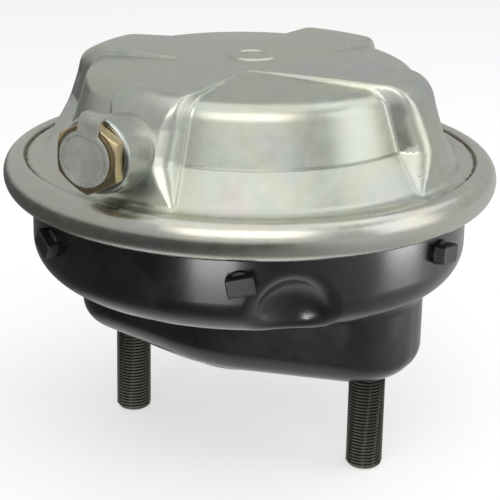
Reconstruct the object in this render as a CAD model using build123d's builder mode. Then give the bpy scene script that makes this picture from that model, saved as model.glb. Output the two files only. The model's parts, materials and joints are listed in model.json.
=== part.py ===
"""Service brake chamber of a pneumatic disc brake, type 30 class.

The origin is the centre of the mounting face.  +X runs along the two studs, +Z runs
up the push rod towards the pressure cover.  All sizes are in millimetres.
"""
from build123d import *
from math import atan2, cos, degrees, radians, sin, sqrt, tan
import os

os.makedirs("parts", exist_ok=True)

# ---------------------------------------------------------------- driving dimensions
# sheet metal
HOUSING_T = 3.0  # wall of the housing
COVER_T = 3.0  # wall of the pressure cover
RING_T = 2.2  # wall of the crimp ring

# clearances
SLIP = 0.02  # between pieces that are pressed or screwed together
GAP = 0.3  # between pieces that move past each other
OVER = 1.0  # how far a cutter runs past the face it opens

# rolled joint between cover and housing
SEAM_Z = 81.3  # middle of the diaphragm's rim bead
BEAD_T = 5.6  # thickness of the clamped bead
RING_R = 106.7  # outer radius of the crimp ring
RING_WRAP = 3.0  # ring's outside beyond the flanges it wraps
RING_SIDE = 6.8  # radial half axis of the ring's rolled outside
RING_HALF_H = BEAD_T / 2 + HOUSING_T + RING_T  # half height of the ring
LIP_GRIP = 5.9  # how far the ring's lips reach over the flanges
LIP_CLEAR = 1.0  # room between the upper lip and the cover's step
RING_LIP_EDGE = 0.8  # rounding of the upper lip
FLANGE_R = RING_R - RING_WRAP  # outer radius of both flanges
FLANGE_EDGE_R = 2.9  # rounding of the flanges' outer edge
RING_LIP_R = FLANGE_R - LIP_GRIP  # inner edge of the ring's two lips
HOUSING_FLANGE_TOP = SEAM_Z - BEAD_T / 2
HOUSING_FLANGE_LOW = HOUSING_FLANGE_TOP - HOUSING_T
COVER_FLANGE_LOW = SEAM_Z + BEAD_T / 2

# studs and the stiffener that carries them
STUD_SPACING = 120.65
STUD_R = 8.0
STUD_SHANK_R = 8.6  # thicker shank inside the pad
STUD_OUT = 46.0  # length below the mounting face
STUD_TIP = 1.5  # chamfer at the end
STUD_HEAD_R = 11.5
STUD_HEAD_L = 6.0
STIFFENER_T = 5.0
STIFFENER_INSET = 8.2  # inside the pad's outline, clear of the rounded floor

# mounting pad
PAD_END_L = 18.675  # from a stud's axis to the end of the pad
PAD_END_X = STUD_SPACING / 2 + PAD_END_L  # half length of the pad
OPENING_R = 29.9  # opening for rod and bellows in the mounting face
PAD_LAND = 15.7  # width of the face beside the opening
PAD_TAPER = 21.6
PAD_MID_Y = OPENING_R + PAD_LAND  # half width in the middle
PAD_END_Y = PAD_MID_Y - PAD_TAPER  # half width at the ends
PAD_MID_R = 30.0  # rounding of the two blunt corners
PAD_END_R = 20.0  # rounding of the four end corners
PAD_EDGE_R = 9.0  # rounding of the pad's lower edge
PAD_T = 4.0  # floor of the pad

# housing
FLANGE_W = 9.3  # width of the flange outside the bowl
BOWL_R = FLANGE_R - FLANGE_W  # outer radius of the bowl
BOWL_DEPTH = 26.0  # straight wall below the flange
BOWL_CORNER_R = 10.0  # rounding of the bowl's lower edge
BOWL_CORNER_Z = HOUSING_FLANGE_LOW - BOWL_DEPTH  # height where that rounding starts
BOWL_SLOPE = 10.0  # fall of the bowl's underside towards the middle, degrees
GUSSET_W = 52.0  # width of the two sloping gussets between bowl and pad ends
GUSSET_H = 18.4  # their height
GUSSET_DROP = 3.5  # from the start of the bowl's rounding to their upper edge
GUSSET_TOP_Z = BOWL_CORNER_Z - GUSSET_DROP  # where the slope would meet the bowl's wall
GUSSET_FOOT_Z = GUSSET_TOP_Z - GUSSET_H  # where a gusset leaves the end of the pad

# clearance dimples in the bowl
DIMPLE_R = 20.0  # radius of the ball that shapes a dimple
DIMPLE_OFF = 10.6  # distance of its centre outside the bowl's wall
DIMPLE_DROP = 1.5  # and below the start of the bowl's rounding
DIMPLE_OUT = BOWL_R + DIMPLE_OFF
DIMPLE_Z = BOWL_CORNER_Z - DIMPLE_DROP
DIMPLE_AZIMUTH = -50.0  # the other one is opposite

# vent plugs
PLUGS = ((-120.0, -28.0), (-63.0, 12.0), (-5.0, -7.0))  # azimuth and turn of each
PLUG_DROP = 13.5  # below the housing's flange
PLUG_Z = HOUSING_FLANGE_LOW - PLUG_DROP
PLUG_STEM_R = 4.0
PLUG_COLLAR_R = 6.3
PLUG_COLLAR_L = 2.0
PLUG_HEAD_W = 10.2  # head, the long way
PLUG_HEAD_H = 6.8  # head, the short way
PLUG_HEAD_L = 3.8
PLUG_EDGE_R = 0.8

# pressure cover
COVER_STEP = 1.1  # step from the visible flange down to the one under the ring
COVER_FLOOR_Z = COVER_FLANGE_LOW + COVER_T + COVER_STEP  # visible flange round the foot
COVER_FLOOR_R = RING_LIP_R - LIP_CLEAR  # outer edge of that flange
COVER_H = 43.2  # from that flange to the top of the cross
COVER_TOP = COVER_FLOOR_Z + COVER_H
COVER_SHELF = 11.5  # from the foot of the cross's wall to the edge of the flange
COVER_FOOT_R = FLANGE_R - COVER_SHELF
COVER_DRAFT = 20.2  # wall from upright, degrees
COVER_CORNER_R = 10.0  # rounding between wall and top
SECTOR_DROP = 2.8  # depth of the pressed sectors below the top
SECTOR_STEP = 1.2  # foot of a sector's wall inside the foot of the cross
SECTOR_FOOT_R = COVER_FOOT_R - SECTOR_STEP
SECTOR_FLARE = 14.5  # run of the flared foot, from the crease outwards
SECTOR_FLARE_H = 14.3  # and its rise
SECTOR_CREASE_R = SECTOR_FOOT_R - SECTOR_FLARE
SECTOR_CREASE_Z = COVER_FLOOR_Z + SECTOR_FLARE_H
SECTOR_DRAFT = 15.8  # sector wall from upright, degrees
SECTOR_CORNER_R = 7.0
SECTOR_SPLAY = 20.0  # lean of the cross's flanks below the crease, degrees
SECTOR_PLAN_R = 4.0  # rounding of a sector's inner corner, seen from above
RING_MARK_R = 9.6  # small embossed ring in the middle of the top
RING_MARK_W = 2.2
RING_MARK_H = 0.8

# two kinds of pressed sector, each there twice, opposite each other:
# inner corner x and y, then the directions of its two edges in degrees
SECTORS = [
    (11.0, -24.5, -90.0, 10.4),
    (-22.0, -20.5, -94.5, 180.0),
]

# air port on the cover's wall
PORT_X = -12.0
PORT_H = 22.0  # height of the port above the cover's flange
PORT_Z = COVER_FLOOR_Z + PORT_H
BOSS_R = 16.5
BOSS_L = 20.2  # from the wall to the boss's face
BOSS_BACK = 8.0  # how far the boss reaches back over the rounded wall
BOSS_EDGE = 1.5
SHANK_R = 11.0  # screw-in end of the adapter
SHANK_L = 14.0
HEX_AF = 27.0
HEX_L = 5.8
HEX_CHAMFER = 1.4  # depth of the turned chamfer on its corners
THREAD_R = 7.25  # core radius of the adapter's M16x1.5 thread, which runs right through
MOUTH_R = 9.2  # plain mouth in front of the thread
MOUTH_L = 3.0
AIR_R = 5.0  # air passage
SEAL_R = 12.2  # sealing ring under the hexagon
SEAL_WIRE_R = 1.0
CAP_R = 12.0
CAP_T = 1.6
CAP_STEP_R = 9.6  # shallow round step in its front
CAP_STEP = 0.4
CAP_WALL = 1.05  # wall of the cap's spigot in the adapter's mouth
CAP_TAB_W = 9.5
CAP_TAB_REACH = 17.6  # from the port's axis to the fold of the tab
CAP_TAB_BACK = 5.0  # length of the tab behind the fold

# diaphragm
DIAPHRAGM_T = 3.0
BEAD_INNER_R = COVER_FOOT_R
FOLD_ROOM = 7.2  # from the sectors' crease in to the skin's turn
FOLD_R = SECTOR_CREASE_R - FOLD_ROOM  # where the skin turns from steep to flat
FOLD_RISE = 17.0  # height of that turn above the bead
SKIN_FLAT = 8.0  # level stretch of skin inside the bead
SKIN_BEND_R = 3.0

# moving parts, shown with the brake released
PLATE_CLEAR = 9.8  # air room between the diaphragm and the pressed sectors
PLATE_TOP = COVER_TOP - SECTOR_DROP - COVER_T - DIAPHRAGM_T - GAP - PLATE_CLEAR
PLATE_T = 4.0
SKIN_RUN = 11.3  # from the plate's edge out to the skin's turn
PLATE_R = FOLD_R - SKIN_RUN
PLATE_RIM = 4.5  # depth of the rim under the plate
PLATE_RIM_W = 3.5
PLATE_EDGE_R = 3.5
RIB_T = 3.0  # ribs between hub and rim
HUB_R = 16.0
HUB_L = 12.5  # from the plate's top to the hub's lower end
HUB_BOTTOM = PLATE_TOP - HUB_L
ROD_R = 9.0
ROD_TIP = -6.0
SPIGOT_R = 6.0
NUT_AF = 19.0
NUT_T = 2.8
NUT_POCKET_R = 12.0
GROOVE_R = 8.2  # groove in the rod for the bellows
GROOVE_DROP = 30.0  # from the hub down to the groove
GROOVE_Z = HUB_BOTTOM - GROOVE_DROP
GROOVE_L = 6.0

# bellows, seal collar and return spring
COLLAR_T = 3.9
COLLAR_R = OPENING_R - COLLAR_T  # inner radius of the seal collar
COLLAR_OUT = 2.6  # height of its edge below the mounting face
COLLAR_LIP = 1.7
COLLAR_LIP_R = OPENING_R + COLLAR_LIP
COLLAR_LIP_T = 2.0
BELLOWS_T = 1.5
BELLOWS_FOLDS = 6
BELLOWS_BEAD_T = 2.0
BEAD_EDGE = 1.0  # bead of the bellows inside the collar's lip
BELLOWS_BEAD_R = COLLAR_LIP_R - BEAD_EDGE  # outer radius of the bead under the retainer
BELLOWS_STEP = 2.6  # first crest inside the bead
BELLOWS_R_LOW = BELLOWS_BEAD_R - BELLOWS_STEP
BELLOWS_R_HIGH = 19.0
BELLOWS_DEPTH = 5.0  # depth of a fold
BELLOWS_CUFF_R = 12.0
CLAMP_T = 1.0  # ring round the bellows' cuff
SEAT_T = 1.5
SEAT_RIM_T = 1.2
SEAT_RIM_H = 5.0
SPRING_WIRE_R = 2.25
SPRING_TURNS = 5.5
SPRING_PLAY = 0.35  # between the spring and the rim of its seat
SPRING_R_LOW = COLLAR_LIP_R + GAP + SEAT_RIM_T + SPRING_PLAY + SPRING_WIRE_R
SPRING_ROOM = 11.0  # from the spring's upper turn to the plate's edge
SPRING_R_HIGH = PLATE_R - SPRING_ROOM
SEAT_MARGIN = 2.55  # seat outside the spring's wire
SEAT_R = SPRING_R_LOW + SPRING_WIRE_R + SEAT_MARGIN

# ------------------------------------------------------------------ derived sizes
SECTOR_FOOT_H = SECTOR_CREASE_Z - SEAM_Z
STIFFENER_TOP = PAD_T + STIFFENER_T
COLLAR_TOP = STIFFENER_TOP + COLLAR_LIP_T
TALL = 2 * COVER_TOP  # longer than the whole chamber, for cutters
ROOT2 = sqrt(2)


def finish(builder, name):
    """Label a finished piece, write it and print its volume."""
    builder.part.label = name
    export_step(builder.part, f"parts/{name}.step")
    print(f"{name}: {len(builder.part.solids())} solid, {builder.part.volume / 1000:.2f} cm3")


def around(radius, azimuth, z):
    """Point at a distance from the axis, in a direction, at a height."""
    return Vector(radius * cos(radians(azimuth)), radius * sin(radians(azimuth)), z)


# ==================================================================== crimp ring
with BuildPart() as crimp_ring:
    with BuildSketch(Plane.XZ):
        # rolled outside: half an ellipse between two flat lips
        ring_centre_r = RING_R - RING_SIDE
        with BuildLine():
            EllipticalCenterArc(
                (ring_centre_r, SEAM_Z), RING_SIDE, RING_HALF_H, start_angle=-90, arc_size=180
            )
            Polyline(
                (ring_centre_r, SEAM_Z + RING_HALF_H),
                (RING_LIP_R, SEAM_Z + RING_HALF_H),
                (RING_LIP_R, SEAM_Z - RING_HALF_H),
                (ring_centre_r, SEAM_Z - RING_HALF_H),
            )
        make_face()
        # the two flanges and the bead lie in this channel
        channel_r = FLANGE_R + GAP
        channel_h = BEAD_T + HOUSING_T + COVER_T
        with BuildSketch(mode=Mode.PRIVATE) as channel:
            with Locations((0, SEAM_Z)):
                Rectangle(2 * channel_r, channel_h)
            fillet(channel.vertices(), FLANGE_EDGE_R)
        add(channel.sketch, mode=Mode.SUBTRACT)
    revolve(axis=Axis.Z)
    lip_edges = crimp_ring.edges().filter_by(GeomType.CIRCLE).filter_by(
        lambda e: abs(e.radius - RING_LIP_R) < 0.01
    )
    fillet(lip_edges.group_by(Axis.Z)[-1], RING_LIP_EDGE)
finish(crimp_ring, "crimp_ring")


# ====================================================================== housing
def pad_outline(inset):
    """Long six-sided outline of the mounting pad, drawn smaller by inset."""
    with BuildSketch() as outline:
        with BuildLine():
            Polyline(
                (PAD_END_X, PAD_END_Y),
                (0, PAD_MID_Y),
                (-PAD_END_X, PAD_END_Y),
                (-PAD_END_X, -PAD_END_Y),
                (0, -PAD_MID_Y),
                (PAD_END_X, -PAD_END_Y),
                close=True,
            )
        make_face()
        fillet(outline.vertices().filter_by(lambda v: abs(v.X) < PAD_END_X / 2), PAD_MID_R)
        fillet(outline.vertices().filter_by(lambda v: abs(v.X) > PAD_END_X / 2), PAD_END_R)
        if inset:
            offset(amount=-inset, kind=Kind.INTERSECTION)
    return outline.sketch


def bowl_form(inset):
    """Solid bowl, its surface moved inwards by inset."""
    radius = BOWL_R - inset
    corner = BOWL_CORNER_R - inset
    centre_r = BOWL_R - BOWL_CORNER_R
    slope = radians(BOWL_SLOPE)
    tangent = (centre_r + corner * sin(slope), BOWL_CORNER_Z - corner * cos(slope))
    middle = radians((BOWL_SLOPE - 90) / 2)
    halfway = (centre_r + corner * cos(middle), BOWL_CORNER_Z + corner * sin(middle))
    with BuildPart() as bowl:
        with BuildSketch(Plane.XZ):
            with BuildLine():
                Line((0, tangent[1] - tangent[0] * tan(slope)), tangent)
                ThreePointArc(tangent, halfway, (radius, BOWL_CORNER_Z))
                Polyline(
                    (radius, BOWL_CORNER_Z),
                    (radius, HOUSING_FLANGE_TOP),
                    (0, HOUSING_FLANGE_TOP),
                    (0, tangent[1] - tangent[0] * tan(slope)),
                )
            make_face()
        revolve(axis=Axis.Z)
    return bowl.part


def gussets(inset):
    """Sloping gussets that carry the bowl on the two ends of the pad."""
    wall_radius = BOWL_R - GAP
    lean = atan2(GUSSET_TOP_Z - GUSSET_FOOT_Z, wall_radius - PAD_END_X)
    # the slope moves inwards square to itself
    rise = inset / cos(lean)
    foot = (PAD_END_X, GUSSET_FOOT_Z + rise)
    top = (wall_radius - inset, GUSSET_TOP_Z + rise - inset * tan(lean))
    with BuildPart() as pair:
        with BuildSketch(Plane.XZ) as profile:
            with BuildLine():
                Polyline(
                    (0, foot[1]),
                    foot,
                    top,
                    (top[0], BOWL_CORNER_Z + BOWL_CORNER_R),
                    (0, BOWL_CORNER_Z + BOWL_CORNER_R),
                    close=True,
                )
            make_face()
            corner = profile.vertices().sort_by_distance(top)[0]
            fillet(corner, BOWL_CORNER_R - inset)
        revolve(axis=Axis.Z)
        with BuildSketch():
            RectangleRounded(TALL, GUSSET_W - 2 * inset, PAD_EDGE_R - inset)
        extrude(amount=TALL, mode=Mode.INTERSECT)
    return pair.part


def dimple_balls(grow):
    """The two balls that shape the dimples."""
    with BuildPart() as balls:
        for azimuth in (DIMPLE_AZIMUTH, DIMPLE_AZIMUTH + 180):
            with Locations(around(DIMPLE_OUT, azimuth, DIMPLE_Z)):
                Sphere(DIMPLE_R + grow)
    return balls.part


plug_planes = []
for half_turn in (0, 180):
    for seat, turn in PLUGS:
        azimuth = seat + half_turn
        # the head's long way, turned about the plug's axis
        long_way = around(cos(radians(turn)), azimuth + 90, sin(radians(turn)))
        plug_planes.append(
            Plane(
                origin=around(BOWL_R, azimuth, PLUG_Z),
                x_dir=long_way,
                z_dir=around(1, azimuth, 0),
            )
        )

# hollow of the housing
with BuildPart() as hollow:
    add(bowl_form(HOUSING_T))
    add(gussets(HOUSING_T))
    add(dimple_balls(HOUSING_T), mode=Mode.SUBTRACT)
    with BuildPart(mode=Mode.PRIVATE) as pocket:
        with BuildSketch(Plane.XY.offset(PAD_T)):
            add(pad_outline(HOUSING_T))
        extrude(amount=BOWL_CORNER_Z - PAD_T)
        fillet(pocket.faces().sort_by(Axis.Z)[0].edges(), PAD_EDGE_R - PAD_T)
    add(pocket.part)

with BuildPart() as housing:
    with BuildSketch():
        add(pad_outline(0))
    extrude(amount=BOWL_CORNER_Z - BOWL_CORNER_R / 2)
    fillet(housing.faces().sort_by(Axis.Z)[0].edges(), PAD_EDGE_R)
    add(bowl_form(0))
    add(gussets(0))
    add(dimple_balls(0), mode=Mode.SUBTRACT)
    # flange under the diaphragm's bead
    with BuildSketch(Plane.XY.offset(HOUSING_FLANGE_LOW)):
        Circle(FLANGE_R)
    extrude(amount=HOUSING_T)
    flange_edge = housing.edges().filter_by(GeomType.CIRCLE).sort_by(SortBy.RADIUS)[-2:]
    fillet(flange_edge.sort_by(Axis.Z)[0], FLANGE_EDGE_R)
    add(hollow.part, mode=Mode.SUBTRACT)
    # opening and stud holes in the pad, holes of the plugs in the bowl
    with BuildSketch():
        Circle(OPENING_R)
        with GridLocations(STUD_SPACING, 1, 2, 1):
            Circle(STUD_SHANK_R + SLIP)
    extrude(amount=PAD_T + OVER, mode=Mode.SUBTRACT)
    for plane in plug_planes:
        with BuildSketch(plane.offset(-2 * HOUSING_T)):
            Circle(PLUG_STEM_R + SLIP)
        extrude(amount=3 * HOUSING_T, mode=Mode.SUBTRACT)
finish(housing, "housing")


# ============================================================= stiffener and studs
with BuildPart() as stiffener_plate:
    with BuildSketch(Plane.XY.offset(PAD_T)):
        add(pad_outline(STIFFENER_INSET))
        Circle(OPENING_R, mode=Mode.SUBTRACT)
        with GridLocations(STUD_SPACING, 1, 2, 1):
            Circle(STUD_SHANK_R + SLIP, mode=Mode.SUBTRACT)
    extrude(amount=STIFFENER_T)
finish(stiffener_plate, "stiffener_plate")

with BuildPart() as mounting_studs:
    with BuildSketch(Plane.XY.offset(-STUD_OUT)):
        with GridLocations(STUD_SPACING, 1, 2, 1):
            Circle(STUD_R)
    extrude(amount=STUD_OUT)
    chamfer(mounting_studs.faces().group_by(Axis.Z)[0].edges(), STUD_TIP)
    with BuildSketch():
        with GridLocations(STUD_SPACING, 1, 2, 1):
            Circle(STUD_SHANK_R)
    extrude(amount=STIFFENER_TOP)
    with BuildSketch(Plane.XY.offset(STIFFENER_TOP)):
        with GridLocations(STUD_SPACING, 1, 2, 1):
            Circle(STUD_HEAD_R)
    extrude(amount=STUD_HEAD_L)
    chamfer(mounting_studs.faces().group_by(Axis.Z)[-1].edges(), STUD_TIP)
finish(mounting_studs, "mounting_studs")


# ==================================================================== vent plugs
with BuildPart() as vent_plugs:
    for plane in plug_planes:
        with BuildSketch(plane.offset(-HOUSING_T)):
            Circle(PLUG_STEM_R)
        extrude(amount=HOUSING_T + PLUG_COLLAR_L)
        with BuildSketch(plane.offset(GAP)):
            Circle(PLUG_COLLAR_R)
        extrude(amount=PLUG_COLLAR_L)
        with BuildSketch(plane.offset(PLUG_COLLAR_L)):
            RectangleRounded(PLUG_HEAD_W, PLUG_HEAD_H, PLUG_EDGE_R)
        extrude(amount=PLUG_HEAD_L)
finish(vent_plugs, "vent_plugs")


# ================================================================ pressure cover
def wall_r(z):
    """Radius of the cross's wall at a height."""
    return COVER_FOOT_R - (z - COVER_FLOOR_Z) * tan(radians(COVER_DRAFT))


def dome(inset, base):
    """Cover without its sectors, as a solid, its surface moved inwards by inset."""
    side = inset / cos(radians(COVER_DRAFT))
    top = COVER_TOP - inset
    with BuildPart() as body:
        with BuildSketch(Plane.XZ) as profile:
            with BuildLine():
                Polyline(
                    (0, base),
                    (wall_r(base) - side, base),
                    (wall_r(top) - side, top),
                    (0, top),
                    close=True,
                )
            make_face()
            corner = profile.vertices().sort_by_distance((wall_r(top) - side, top))[0]
            fillet(corner, COVER_CORNER_R - inset)
        revolve(axis=Axis.Z)
    return body.part


def sector_level(inset, base):
    """Surface of the pressed sectors, all the way round, moved inwards by inset."""
    lean = tan(radians(SECTOR_DRAFT))
    side = inset / cos(radians(SECTOR_DRAFT))
    top = COVER_TOP - SECTOR_DROP - inset
    foot_r = SECTOR_FOOT_R - inset * ROOT2
    crease_z = SECTOR_CREASE_Z - inset / 3
    crease_r = SECTOR_CREASE_R + inset / 3 * lean - side
    top_r = crease_r - (top - crease_z) * lean
    with BuildPart() as body:
        with BuildSketch(Plane.XZ) as profile:
            with BuildLine():
                Polyline(
                    (0, base),
                    (foot_r + COVER_FLOOR_Z - base, base),
                    (crease_r, crease_z),
                    (top_r, top),
                    (0, top),
                    close=True,
                )
            make_face()
            corner = profile.vertices().sort_by_distance((top_r, top))[0]
            fillet(corner, SECTOR_CORNER_R - inset)
        revolve(axis=Axis.Z)
    return body.part


def sector_prisms(grow):
    """Upright prisms over the four sectors, widened by grow on both edges."""
    with BuildPart() as prisms:
        for turn in (0, 180):
            for x, y, first, second in SECTORS:
                a = Vector(cos(radians(first)), sin(radians(first)), 0) * TALL
                b = Vector(cos(radians(second)), sin(radians(second)), 0) * TALL
                inner = Vector(x, y, 0)
                with BuildSketch() as plan:
                    with BuildLine():
                        Polyline(inner, inner + a, inner + a + b, inner + b, close=True)
                    make_face()
                    fillet(plan.vertices().sort_by_distance(inner)[0], SECTOR_PLAN_R)
                    if grow:
                        offset(amount=grow, kind=Kind.INTERSECTION)
                with BuildPart(Plane.XY.offset(SECTOR_CREASE_Z), mode=Mode.PRIVATE) as prism:
                    add(plan.sketch)
                    extrude(amount=TALL)
                    add(plan.sketch)
                    extrude(amount=-SECTOR_FOOT_H, taper=SECTOR_SPLAY)
                add(prism.part.rotate(Axis.Z, turn))
    return prisms.part


def cup(inset, base):
    """Cover as a solid cup with its four sectors pressed in."""
    with BuildPart() as removed:
        add(sector_prisms(inset))
        add(sector_level(inset, base - OVER), mode=Mode.SUBTRACT)
    with BuildPart() as body:
        add(dome(inset, base))
        add(removed.part, mode=Mode.SUBTRACT)
    return body.part


outer_cup = cup(0, COVER_FLOOR_Z)
inner_cup = cup(COVER_T, COVER_FLANGE_LOW)

# port: its plane starts at the wall, its z axis is the port's axis
port_axis = Vector(0, -1, 0)
port_y = -sqrt(wall_r(PORT_Z) ** 2 - PORT_X**2)
port_plane = Plane(origin=(PORT_X, port_y, PORT_Z), x_dir=(1, 0, 0), z_dir=port_axis)

with BuildPart() as pressure_cover:
    add(outer_cup)
    # visible flange, and the thinner flange that the ring holds
    with BuildSketch(Plane.XY.offset(COVER_FLANGE_LOW)):
        Circle(COVER_FLOOR_R)
    extrude(amount=COVER_FLOOR_Z - COVER_FLANGE_LOW)
    with BuildSketch(Plane.XY.offset(COVER_FLANGE_LOW)):
        Circle(FLANGE_R)
    extrude(amount=COVER_T)
    flange_edge = pressure_cover.edges().filter_by(GeomType.CIRCLE).sort_by(SortBy.RADIUS)[-2:]
    fillet(flange_edge.sort_by(Axis.Z)[-1], FLANGE_EDGE_R)
    add(inner_cup, mode=Mode.SUBTRACT)
    # small embossed ring in the middle of the top
    with BuildSketch(Plane.XY.offset(COVER_TOP)):
        Circle(RING_MARK_R)
        Circle(RING_MARK_R - RING_MARK_W, mode=Mode.SUBTRACT)
    extrude(amount=RING_MARK_H)
    # air passage under the boss
    with BuildSketch(port_plane.offset(-BOSS_R)):
        Circle(AIR_R)
    extrude(amount=2 * BOSS_R, mode=Mode.SUBTRACT)
finish(pressure_cover, "pressure_cover")


# ====================================================================== air port
with BuildPart() as port_boss:
    with BuildSketch(port_plane.offset(-BOSS_BACK)):
        Circle(BOSS_R)
    extrude(amount=BOSS_BACK + BOSS_L)
    chamfer(port_boss.faces().sort_by(Axis(port_plane.origin, port_axis))[-1].edges(), BOSS_EDGE)
    add(outer_cup, mode=Mode.SUBTRACT)
    with BuildSketch(port_plane.offset(-BOSS_BACK)):
        Circle(AIR_R)
    extrude(amount=BOSS_BACK + BOSS_L, mode=Mode.SUBTRACT)
    with BuildSketch(port_plane.offset(BOSS_L - SHANK_L - SLIP)):
        Circle(SHANK_R + SLIP)
    extrude(amount=SHANK_L + OVER, mode=Mode.SUBTRACT)
    # seat of the sealing ring
    with BuildSketch(port_plane.offset(BOSS_L - 2 * SEAL_WIRE_R)):
        Circle(SEAL_R + SEAL_WIRE_R)
    extrude(amount=3 * SEAL_WIRE_R, mode=Mode.SUBTRACT)
finish(port_boss, "port_boss")

with BuildPart() as port_adapter:
    with BuildSketch(port_plane.offset(BOSS_L)):
        RegularPolygon(HEX_AF / 2, 6, major_radius=False, rotation=30)
    extrude(amount=HEX_L)
    # turned chamfer that rounds off the corners of the hexagon's front
    with BuildPart(mode=Mode.PRIVATE) as turned:
        with BuildSketch(port_plane.offset(BOSS_L)):
            Circle(HEX_AF / sqrt(3) + OVER)
        extrude(amount=HEX_L)
        chamfer(
            turned.faces().sort_by(Axis(port_plane.origin, port_axis))[-1].edges(),
            length=HEX_CHAMFER,
            length2=OVER + HEX_AF / sqrt(3) - HEX_AF / 2,
        )
    add(turned.part, mode=Mode.INTERSECT)
    with BuildSketch(port_plane.offset(BOSS_L - SHANK_L)):
        Circle(SHANK_R)
    extrude(amount=SHANK_L)
    with BuildSketch(port_plane.offset(BOSS_L - SHANK_L)):
        Circle(THREAD_R)
    extrude(amount=SHANK_L + HEX_L, mode=Mode.SUBTRACT)
    with BuildSketch(port_plane.offset(BOSS_L + HEX_L - MOUTH_L)):
        Circle(MOUTH_R)
    extrude(amount=MOUTH_L, mode=Mode.SUBTRACT)
finish(port_adapter, "port_adapter")

with BuildPart() as adapter_seal:
    with Locations(port_plane.offset(BOSS_L - SEAL_WIRE_R).location):
        Torus(SEAL_R - SLIP, SEAL_WIRE_R - SLIP)
finish(adapter_seal, "adapter_seal")

cap_face = BOSS_L + HEX_L + GAP
with BuildPart() as transport_cap:
    with BuildSketch(port_plane.offset(cap_face)):
        Circle(CAP_R)
    extrude(amount=CAP_T)
    fillet(transport_cap.faces().sort_by(Axis(port_plane.origin, port_axis))[-1].edges(), CAP_T / 3)
    # hollow spigot in the adapter's mouth, clear of the thread
    with BuildSketch(port_plane.offset(cap_face - MOUTH_L + GAP)):
        Circle(MOUTH_R - GAP)
        Circle(MOUTH_R - GAP - CAP_WALL, mode=Mode.SUBTRACT)
    extrude(amount=MOUTH_L - GAP)
    # shallow round step in the front
    with BuildSketch(port_plane.offset(cap_face + CAP_T - CAP_STEP)):
        Circle(CAP_STEP_R)
    extrude(amount=CAP_T, mode=Mode.SUBTRACT)
    # pull tab, folded back over the hexagon
    tab_side = Plane(
        origin=port_plane.origin - port_plane.x_dir * (CAP_TAB_W / 2),
        x_dir=port_plane.y_dir,
        z_dir=port_plane.x_dir,
    )
    fold_r = 2 * CAP_T
    with BuildSketch(tab_side):
        with BuildLine():
            FilletPolyline(
                (CAP_R - 2, cap_face),
                (CAP_TAB_REACH, cap_face),
                (CAP_TAB_REACH, cap_face - CAP_TAB_BACK),
                radius=fold_r,
            )
            offset(amount=CAP_T, side=Side.LEFT)
        make_face()
    extrude(amount=CAP_TAB_W)
finish(transport_cap, "transport_cap")


# ===================================================================== diaphragm
skin_top = PLATE_TOP + GAP + DIAPHRAGM_T / 2
with BuildPart() as diaphragm:
    with BuildSketch(Plane.XZ):
        # middle line of the skin, from the axis out into the bead
        with BuildLine() as skin:
            FilletPolyline(
                (0, skin_top),
                (PLATE_R + GAP, skin_top),
                (FOLD_R, SEAM_Z + FOLD_RISE),
                (BEAD_INNER_R - SKIN_FLAT, SEAM_Z),
                (BEAD_INNER_R + OVER, SEAM_Z),
                radius=SKIN_BEND_R,
            )
        trace(skin.line, DIAPHRAGM_T)
        with Locations(((BEAD_INNER_R + FLANGE_R) / 2, SEAM_Z)):
            Rectangle(FLANGE_R - BEAD_INNER_R, BEAD_T)
    revolve(axis=Axis.Z)
finish(diaphragm, "diaphragm")


# ============================================================ push plate and rod
rib_reach = SPRING_R_HIGH - 3 * SPRING_WIRE_R  # ribs end clear of the spring
with BuildPart() as push_plate:
    with BuildSketch(Plane.XY.offset(PLATE_TOP - PLATE_T)):
        Circle(PLATE_R)
    extrude(amount=PLATE_T)
    fillet(push_plate.faces().sort_by(Axis.Z)[-1].edges(), PLATE_EDGE_R)
    with BuildSketch(Plane.XY.offset(PLATE_TOP - PLATE_T)):
        Circle(PLATE_R)
        Circle(PLATE_R - PLATE_RIM_W, mode=Mode.SUBTRACT)
    extrude(amount=-PLATE_RIM)
    with BuildSketch(Plane.XY.offset(HUB_BOTTOM)):
        Circle(HUB_R)
    extrude(amount=PLATE_TOP - PLATE_T - HUB_BOTTOM)
    # six stiffening ribs between hub and rim
    with BuildSketch(Plane.XY.offset(PLATE_TOP - PLATE_T)):
        with PolarLocations((HUB_R + rib_reach) / 2, 6):
            Rectangle(rib_reach - HUB_R + OVER, RIB_T)
    extrude(amount=-PLATE_RIM)
    with BuildSketch(Plane.XY.offset(HUB_BOTTOM)):
        Circle(SPIGOT_R + SLIP)
    extrude(amount=TALL, mode=Mode.SUBTRACT)
    with BuildSketch(Plane.XY.offset(PLATE_TOP - NUT_T)):
        Circle(NUT_POCKET_R)
    extrude(amount=TALL, mode=Mode.SUBTRACT)
finish(push_plate, "push_plate")

with BuildPart() as push_rod:
    with BuildSketch(Plane.XZ):
        with BuildLine():
            Line((0, PLATE_TOP - GAP), (0, ROD_TIP))
            ThreePointArc(
                (0, ROD_TIP),
                (ROD_R / ROOT2, ROD_TIP + ROD_R - ROD_R / ROOT2),
                (ROD_R, ROD_TIP + ROD_R),
            )
            Polyline(
                (ROD_R, ROD_TIP + ROD_R),
                (ROD_R, GROOVE_Z),
                (GROOVE_R, GROOVE_Z),
                (GROOVE_R, GROOVE_Z + GROOVE_L),
                (ROD_R, GROOVE_Z + GROOVE_L),
                (ROD_R, HUB_BOTTOM),
                (SPIGOT_R, HUB_BOTTOM),
                (SPIGOT_R, PLATE_TOP - GAP),
                (0, PLATE_TOP - GAP),
            )
        make_face()
    revolve(axis=Axis.Z)
finish(push_rod, "push_rod")

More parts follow.
